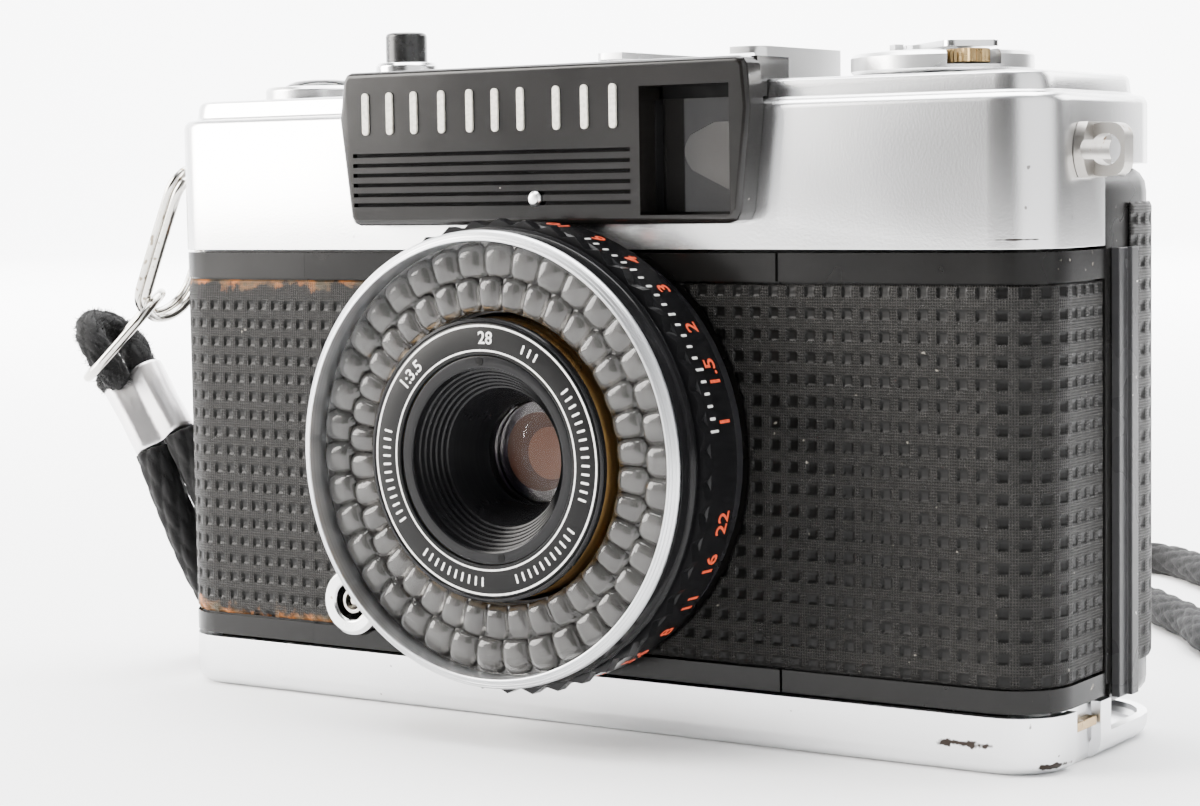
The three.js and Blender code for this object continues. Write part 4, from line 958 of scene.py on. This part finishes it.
# ---- body covers and small parts ----------------------------------------------------------------
for node, look, bevel in [
    ("top_cover", "cover", 0.12), ("bottom_plate", "plate", 0.1), ("front_panel", "gloss", 0.14),
    ("viewfinder_hood", "hood", 0.1), ("chassis", "cast", 0.08), ("accessory_shoe", "deck", 0.16),
    ("back_door", "door", 0.1), ("door_latch", "latch", 0.12), ("strap_lug_right", "lug", 0.16),
    ("strap_lug_left", "lug", 0.16), ("eyepiece_frame", "plastic", 0.18),
    ("rewind_knob", "deck", 0.1), ("rewind_crank", "chrome", 0.1), ("shutter_button", "plastic", 0.18),
    ("button_collar", "chrome", 0.1), ("counter_bezel", "deck", 0.1), ("counter_dial", "deck", 0.05),
    ("advance_wheel", "plastic", 0.08), ("index_stud", "deck", 0.04), ("shoe_contact", "chrome", 0.1),
    ("pc_socket", "chrome", 0.08), ("pc_contact", "wire", 0.05), ("lens_barrel", "anodised", 0.08),
    ("tripod_socket", "chrome", 0.08), ("rewind_release", "chrome", 0.1),
    ("latch_catch", "grip_brass", 0.08), ("crank_grip", "grip_brass", 0.05),
    ("pressure_plate", "anodised", 0.1), ("takeup_spool", "plastic", 0.08),
    ("film_sprocket", "plastic", 0.06), ("rewind_fork", "brass", 0.08),
    ("rewind_collar", "brass", 0.08), ("hinge_pin", "chrome", 0.05), ("pressure_spring", "brass", 0.0),
    ("shutter_case", "anodised", 0.08), ("aperture_ring", "ring", 0.1),
]:
    refined(node, look, bevel)
for node, look in [
    ("counter_glass", "clear"), ("eyepiece_glass", "glass"), ("rear_element", "glass"),
    ("meter_cell", "cell"), ("shutter_blade_right", "steel"), ("shutter_blade_left", "steel"),
]:
    refined(node, look, 0.0)


# ---- lens -----------------------------------------------------------------------------------------
lathe("chrome_ring", [
    (21.75, -10.6), (21.75, -13.15), (21.8, -13.33), (21.9, -13.4), (22.02, -13.38), (22.06, -13.3),
    (22.1, -13.34), (22.3, -13.22), (22.33, -13.16), (22.37, -13.18), (22.58, -13.03),
    (22.61, -12.96), (22.65, -12.97), (22.8, -12.8), (22.84, -12.66), (22.84, -12.5),
    (22.6, -12.48), (22.2, -12.48), (22.2, -10.6),
], "turned", "filter_ring")
lathe("black_ring", [
    (22.25, -12.65), (22.5, -12.65), (22.6, -12.55), (22.62, -11.9), (22.56, -11.85), (22.62, -11.8),
    (22.65, -10.6), (22.8, -10.3), (23.05, -10.15), (23.1, -10.0), (23.1, -9.85), (23.0, -9.8),
    (22.25, -9.8),
], "ring", "film_speed_ring")
lathe("brass_tube", [
    (10.5, -12.2), (13.9, -12.2), (14.1, -12.28), (14.14, -12.2), (14.02, -11.9), (14.15, -11.6),
    (14.12, -2.3), (14.0, -2.2), (10.5, -2.2),
], "brass", "lens_tube")
lathe("name_rim", [
    (13.74, -12.0), (13.74, -12.62), (13.82, -12.7), (14.05, -12.68), (14.16, -12.55), (14.17, -12.0),
], "ring", body="camera_body", slot="black_enamel")
lathe("name_plate", [
    (10.45, -12.35), (10.5, -12.62), (10.58, -12.7), (10.9, -12.72), (13.5, -12.72), (13.66, -12.66),
    (13.72, -12.5), (13.72, -12.3),
], "name", "name_ring")
for ring_name, inner, outer in [("inner_circle", 10.86, 11.04), ("outer_circle", 13.3, 13.5)]:
    lathe(ring_name, [(inner, -12.735), (outer, -12.735), (outer, -12.71), (inner, -12.71)], "white",
          body="camera_body", slot="black_enamel")

throat_steps = []
for index in range(6):
    radius = 9.05 - 0.36 * index
    depth = -11.5 + 0.44 * index
    throat_steps += [(radius, depth - 0.1), (radius - 0.05, depth), (radius - 0.24, depth + 0.05),
                     (radius - 0.3, depth - 0.02), (radius - 0.34, depth + 0.08)]
lathe("throat_rings", [
    (10.42, -12.3), (10.38, -12.42), (10.2, -12.46), (9.3, -12.4), (9.15, -12.3), (9.1, -11.8),
    *throat_steps, (6.72, -8.9), (6.62, -8.7), (5.42, -4.75), (5.3, -4.6), (5.3, -2.4), (10.3, -2.4),
    (10.3, -12.2),
], "throat", "lens_throat")


GLASS_RADIUS, GLASS_FRONT, GLASS_SAG, GLASS_BACK, GLASS_RINGS = 5.2, -4.5, 0.85, -3.0, 14
glass_profile = [(GLASS_RADIUS * i / GLASS_RINGS, GLASS_FRONT + GLASS_SAG * (i / GLASS_RINGS) ** 2)
                 for i in range(GLASS_RINGS + 1)]
glass_profile += [(GLASS_RADIUS, GLASS_BACK), (0.0, GLASS_BACK)]
lathe("front_glass", glass_profile, "glass", "front_element", 96, "camera_body", "coated_glass")
AMBER_Y = -2.75
SPANNER_RADIUS = 9.85


def disc(name, centre, radius, y, look, thick):
    turn = np.arange(72) * TAU / 72
    outline = [(centre[0] + radius * math.cos(a), centre[1] + radius * math.sin(a)) for a in turn]
    plate(name, outline, (y, y + thick), look)


# Spanner holes: thin near-black discs on the ring's face, painted shade standing in for the holes, which
# are not cut.
for hole_name, hole_angle in (("spanner_hole_top", 93), ("spanner_hole_low", -80)):
    turn = math.radians(hole_angle)
    hole_centre = (LENS_X + SPANNER_RADIUS * math.cos(turn), LENS_Z + SPANNER_RADIUS * math.sin(turn))
    disc(hole_name, hole_centre, 0.42, -12.48, "near_black_and_hole_shade", 0.04)
disc("coated_rim", (LENS_X, LENS_Z), 5.1, AMBER_Y + 0.1, "violet", 0.12)
disc("coated_disc", (LENS_X, LENS_Z), 4.0, AMBER_Y, "amber", 0.08)
disc("coated_highlight", (LENS_X + 1.25, LENS_Z - 0.1), 2.65, AMBER_Y - 0.05, "amber_light", 0.04)

LENSLETS = 38


def bubble_window():
    """Two rows of moulded lenslets round the name ring, as one closed annular plate."""
    per_cell, per_row = 16, 14
    rows = [(14.75, 17.95), (18.0, 21.3)]
    low, rise, floor, rear = -10.8, 0.9, -10.85, -10.5
    turn = np.arange(LENSLETS * per_cell) * TAU / (LENSLETS * per_cell)

    def across_cell(row):
        return ((turn / TAU * LENSLETS + 0.3 * row) % 1) * 2 - 1

    def scallop(cell):
        return 0.3 * (1 - np.abs(cell) ** 2.4)

    points, pillows = [], []
    for row, (inner, outer) in enumerate(rows):
        cell = across_cell(row)
        for k in range(per_row + 1):
            v = 2 * k / per_row - 1
            reach = inner + (outer - inner) * k / per_row + scallop(cell) * k / per_row
            if row == 1 and k == 0:
                reach = reach + scallop(across_cell(0))
            pillow = np.maximum(0.0, 1 - np.abs(cell) ** 3.2 - abs(v) ** 3.6) ** 0.55
            points += list(about_lens(reach, turn, low - rise * pillow))
            pillows += list(pillow)
    for radius, y in ((21.73, floor), (21.73, rear), (14.72, rear)):
        points += list(about_lens(radius, turn, y))
        pillows += [1.0] * len(turn)
    levels = 2 * (per_row + 1) + 3
    relief = np.stack([np.zeros(len(pillows)), np.zeros(len(pillows)), pillows], -1)
    piece = add_piece("lenslets", points, grid_faces(levels, len(turn), True, True), "bubbles",
                      "camera_body", "clear_plastic", ("meter_window",), attribute=relief)
    mark_creases(piece.data, 70)


bubble_window()


# ---- numbers and ticks ------------------------------------------------------------------------------
INK = 0.03
NUMBER_Y = -4.75
TICK_Y = -6.95
NAME_RADIUS = 12.15
NAME_FACE = -12.735


def text_shape(body, size):
    """Flat lettering as arrays, centred on its middle: x along the line, y up, z its thickness."""
    curve = bpy.data.curves.new("lettering", "FONT")
    curve.body = body
    curve.size = size
    curve.align_x = "CENTER"
    curve.align_y = "CENTER"
    curve.extrude = INK / 2
    curve.offset = 0.012 * size
    curve.resolution_u = 3
    carrier = linked("lettering", curve)
    bpy.context.view_layer.update()
    mesh = bpy.data.meshes.new_from_object(carrier.evaluated_get(bpy.context.evaluated_depsgraph_get()))
    bm = bmesh.new()
    bm.from_mesh(mesh)
    bmesh.ops.remove_doubles(bm, verts=bm.verts, dist=1e-5)
    bm.to_mesh(mesh)
    bm.free()
    points = np.array([v.co for v in mesh.vertices], float)
    faces = [list(p.vertices) for p in mesh.polygons]
    bpy.data.objects.remove(carrier)
    bpy.data.curves.remove(curve)
    bpy.data.meshes.remove(mesh)
    return points, faces


def join_shapes(shapes):
    points, faces = [], []
    for shape_points, shape_faces in shapes:
        first = sum(len(p) for p in points)
        points.append(shape_points)
        faces += [[first + i for i in f] for f in shape_faces]
    return np.vstack(points), faces


def bar_shape(width, height, thick, at=(0.0, 0.0)):
    """An upright stroke with round ends."""
    outline = rounded_rect((at[0] - width / 2, at[0] + width / 2),
                           (at[1] - height / 2, at[1] + height / 2), width / 2 - 0.001, steps=5)
    points = [(x, y, z) for z in (-thick / 2, thick / 2) for x, y in outline]
    return np.array(points, float), [face[::-1] for face in prism_faces(len(outline))]


def on_cylinder(shape, degrees, y_middle, radius):
    """Wraps a shape on the number ring: the line runs round it, and its tops point forward."""
    points, faces = shape
    angle = math.radians(degrees) + points[:, 0] / radius
    return about_lens(radius + points[:, 2], angle, y_middle - points[:, 1]), faces


def on_face(shape, degrees):
    """Lays a shape on the name ring, tops outward."""
    points, faces = shape
    angle = math.radians(degrees) - points[:, 0] / NAME_RADIUS
    return about_lens(NAME_RADIUS + points[:, 1], angle, NAME_FACE - points[:, 2]), faces


NUMBER_RADIUS = 23.5
STOPS = [("1", 10), ("1.5", 22), ("2", 34), ("3", 46), ("4", 57), ("6", 68), ("10", 80),
         ("22", -14.5), ("16", -25.5), ("11", -36.5), ("8", -46.5), ("5.6", -58), ("4", -70)]
red_shapes = [on_cylinder(text_shape(text, 2.55), angle, NUMBER_Y, NUMBER_RADIUS)
              for text, angle in STOPS]
add_piece("ring_numbers", *join_shapes(red_shapes), "red", "aperture_control", "black_enamel",
          smooth=False)
white_shapes = [on_cylinder(bar_shape(0.26, 0.95 if index % 5 else 1.5, INK), 8 + 3.0 * index, TICK_Y,
                            NUMBER_RADIUS) for index in range(21)]
add_piece("ring_ticks", *join_shapes(white_shapes), "white", "aperture_control", "black_enamel",
          smooth=False)

name_shapes = [on_face(text_shape("1:3.5", 1.75), 137),
               on_face(text_shape("28", 1.75), 88)]
for sector_start, sector_end in ((-128, -92), (-72, -30), (-16, 36), (58, 66), (168, 212)):
    for angle in np.arange(sector_start, sector_end + 0.1, 4.0):
        name_shapes.append(on_face(bar_shape(0.22, 0.95, INK), angle))
add_piece("name_numbers", *join_shapes(name_shapes), "white", "camera_body", "black_enamel",
          smooth=False)


# ---- hood: row of raised bars, finder and a painted reflection in it ---------------------------------
BAR_Y = HOOD_FACE - 0.1
BAR_Z = 63.75
BAR_XS = (-22.2, -19.0, -15.8, -12.2, -8.6, -5.4, -2.2, 2.2, 5.6, 9.0)


def hood_bars():
    """A row of plain raised strokes, uneven in their spacing."""
    shapes = []
    for x in BAR_XS:
        points, faces = bar_shape(0.8, 4.4, 0.28, (x, BAR_Z))
        shapes.append((np.stack([points[:, 0], BAR_Y + points[:, 2], points[:, 1]], -1), faces))
    piece = add_piece("hood_bars", *join_shapes(shapes), "ivory", "camera_body", "black_paint")
    mark_creases(piece.data, 40)
    bevelled(piece, 0.12, 2, 40)


PANE_XS, PANE_YS, PANE_ZS = (12.12, 22.18), (1.25, 1.55), (53.0, 64.48)
FRAME_YS = (0.98, 1.6)
FRAME_OUTER = ((10.6, 23.2), (51.9, 65.7))
FRAME_INNER = ((12.3, 22.0), (53.15, 64.35))


def finder():
    """Window pane, its dark frame, and a lighter grey plate behind the pane with one bowed side and a
    cut corner: a painted reflection of the finder's optics.
    """
    plate("finder_pane", rounded_rect(PANE_XS, PANE_ZS, 0.3, steps=3), PANE_YS, "pane",
          replaces=("viewfinder_window",))
    (x0, x3), (z0, z3) = FRAME_OUTER
    (x1, x2), (z1, z2) = FRAME_INNER
    for name, (left, right), (low, high) in (("finder_frame_left", (x0, x1), (z0, z3)),
                                             ("finder_frame_right", (x2, x3), (z0, z3)),
                                             ("finder_frame_low", (x0, x3), (z0, z1)),
                                             ("finder_frame_top", (x0, x3), (z2, z3))):
        outline = [(left, low), (right, low), (right, high), (left, high)]
        plate(name, outline, FRAME_YS, "near_black_and_hole_shade", "black_paint")
    # Painted reflection: the lighter plate's colour stands in for the light reflected in the finder's
    # optics.
    bow = [(16.2 - 1.5 * math.sin(a), 56.6 + 5.0 * (a / math.pi)) for a in np.linspace(0.4, 2.6, 12)]
    optic = [(20.4, 55.0), (21.95, 55.0), (21.95, 62.0), (18.2, 61.95)] + bow[::-1]
    plate("finder_painted_reflection", optic, (1.14, 1.22), "optic")


hood_bars()
finder()


# ---- stage and light ---------------------------------------------------------------------------------
def make_stage():
    """A pale floor that curves up into a round wall, with painted shade on the wall in front and at the
    right rear.
    """
    n = Nodes("backdrop_paper")
    paper = n.noise(900.0, 2.0)
    tone = n.ramp(n.noise(3.0, 2.0), [(0.3, (0.87, 0.872, 0.876)), (0.7, (0.895, 0.896, 0.9))])
    x, y, _ = n.split(n.place)
    reach = n.math("SQRT", n.math("ADD", n.math("POWER", x, 2), n.math("POWER", y, 2)))

    def dark_wedge(x_share, y_share, edge, full):
        """1 towards one side of the round wall, 0 elsewhere; edge and full are cosines."""
        toward = n.math("ADD", n.math("MULTIPLY", x, x_share), n.math("MULTIPLY", y, y_share))
        cosine = n.math("DIVIDE", toward, n.math("MAXIMUM", reach, 0.1))
        return n.spread(cosine, 0.0, 1.0, edge, full, True)

    # Painted shade: the far wall is darkened in front and at the right rear, standing in for unlit parts
    # of the studio that the metal reflects.
    shade = n.math("MAXIMUM", dark_wedge(0.1, -0.995, 0.79, 0.95), dark_wedge(0.72, 0.69, 0.78, 0.94))
    far = n.spread(reach, 0.0, 1.0, 0.55, 1.2, True)
    tone = n.mix(n.math("MULTIPLY", shade, far), tone, (0.035, 0.034, 0.033))
    n.set(Base_Color=tone, Roughness=n.spread(paper, 0.75, 0.85), Specular_IOR_Level=0.2)
    floor_radius, bend, wall_top = 2.2, 0.8, 3.4
    profile = [(0.0, 0.0), (0.4, 0.0), (1.0, 0.0), (1.6, 0.0)]
    profile += [(floor_radius + bend * math.sin(a), bend - bend * math.cos(a))
                for a in np.linspace(0, math.pi / 2, 24)]
    profile.append((floor_radius + bend, wall_top))
    segments = 96
    turn = np.arange(segments) * TAU / segments
    points = [(r * math.cos(a), r * math.sin(a), z) for a in turn for r, z in profile]
    mesh = bpy.data.meshes.new("backdrop")
    faces = grid_faces(segments, len(profile), True, False).tolist()
    mesh.from_pydata(points, [], faces)
    merge_and_close(mesh)
    mesh.polygons.foreach_set("use_smooth", [True] * len(mesh.polygons))
    mesh.materials.append(n.material)
    linked("backdrop", mesh)


def area_light(name, place, aim, size, power, color=(1, 1, 1)):
    data = bpy.data.lights.new(name, "AREA")
    data.shape = "RECTANGLE"
    data.size, data.size_y = size
    data.energy = power
    data.color = color
    light = linked(name, data)
    light.location = place
    light.rotation_euler = (Vector(aim) - Vector(place)).to_track_quat("-Z", "Y").to_euler()


make_stage()
area_light("key_softbox", (-0.95, -0.6, 0.5), (0, 0, 0.03), (0.8, 0.9), 52, (1.0, 0.965, 0.92))
area_light("top_softbox", (-0.1, 0.2, 1.2), (0, 0.02, 0), (1.3, 1.1), 68)
area_light("rear_softbox", (0.7, 1.0, 0.7), (0, 0, 0.03), (0.8, 0.6), 14)
area_light("backdrop_light", (-0.5, 0.9, 1.6), (-1.5, 2.4, 0.4), (1.6, 1.2), 380)
world = bpy.data.worlds.new("studio")
world.use_nodes = True
sky = world.node_tree.nodes["Background"].inputs
sky["Color"].default_value = (0.94, 0.96, 1.0, 1)
sky["Strength"].default_value = 0.45
bpy.context.scene.world = world
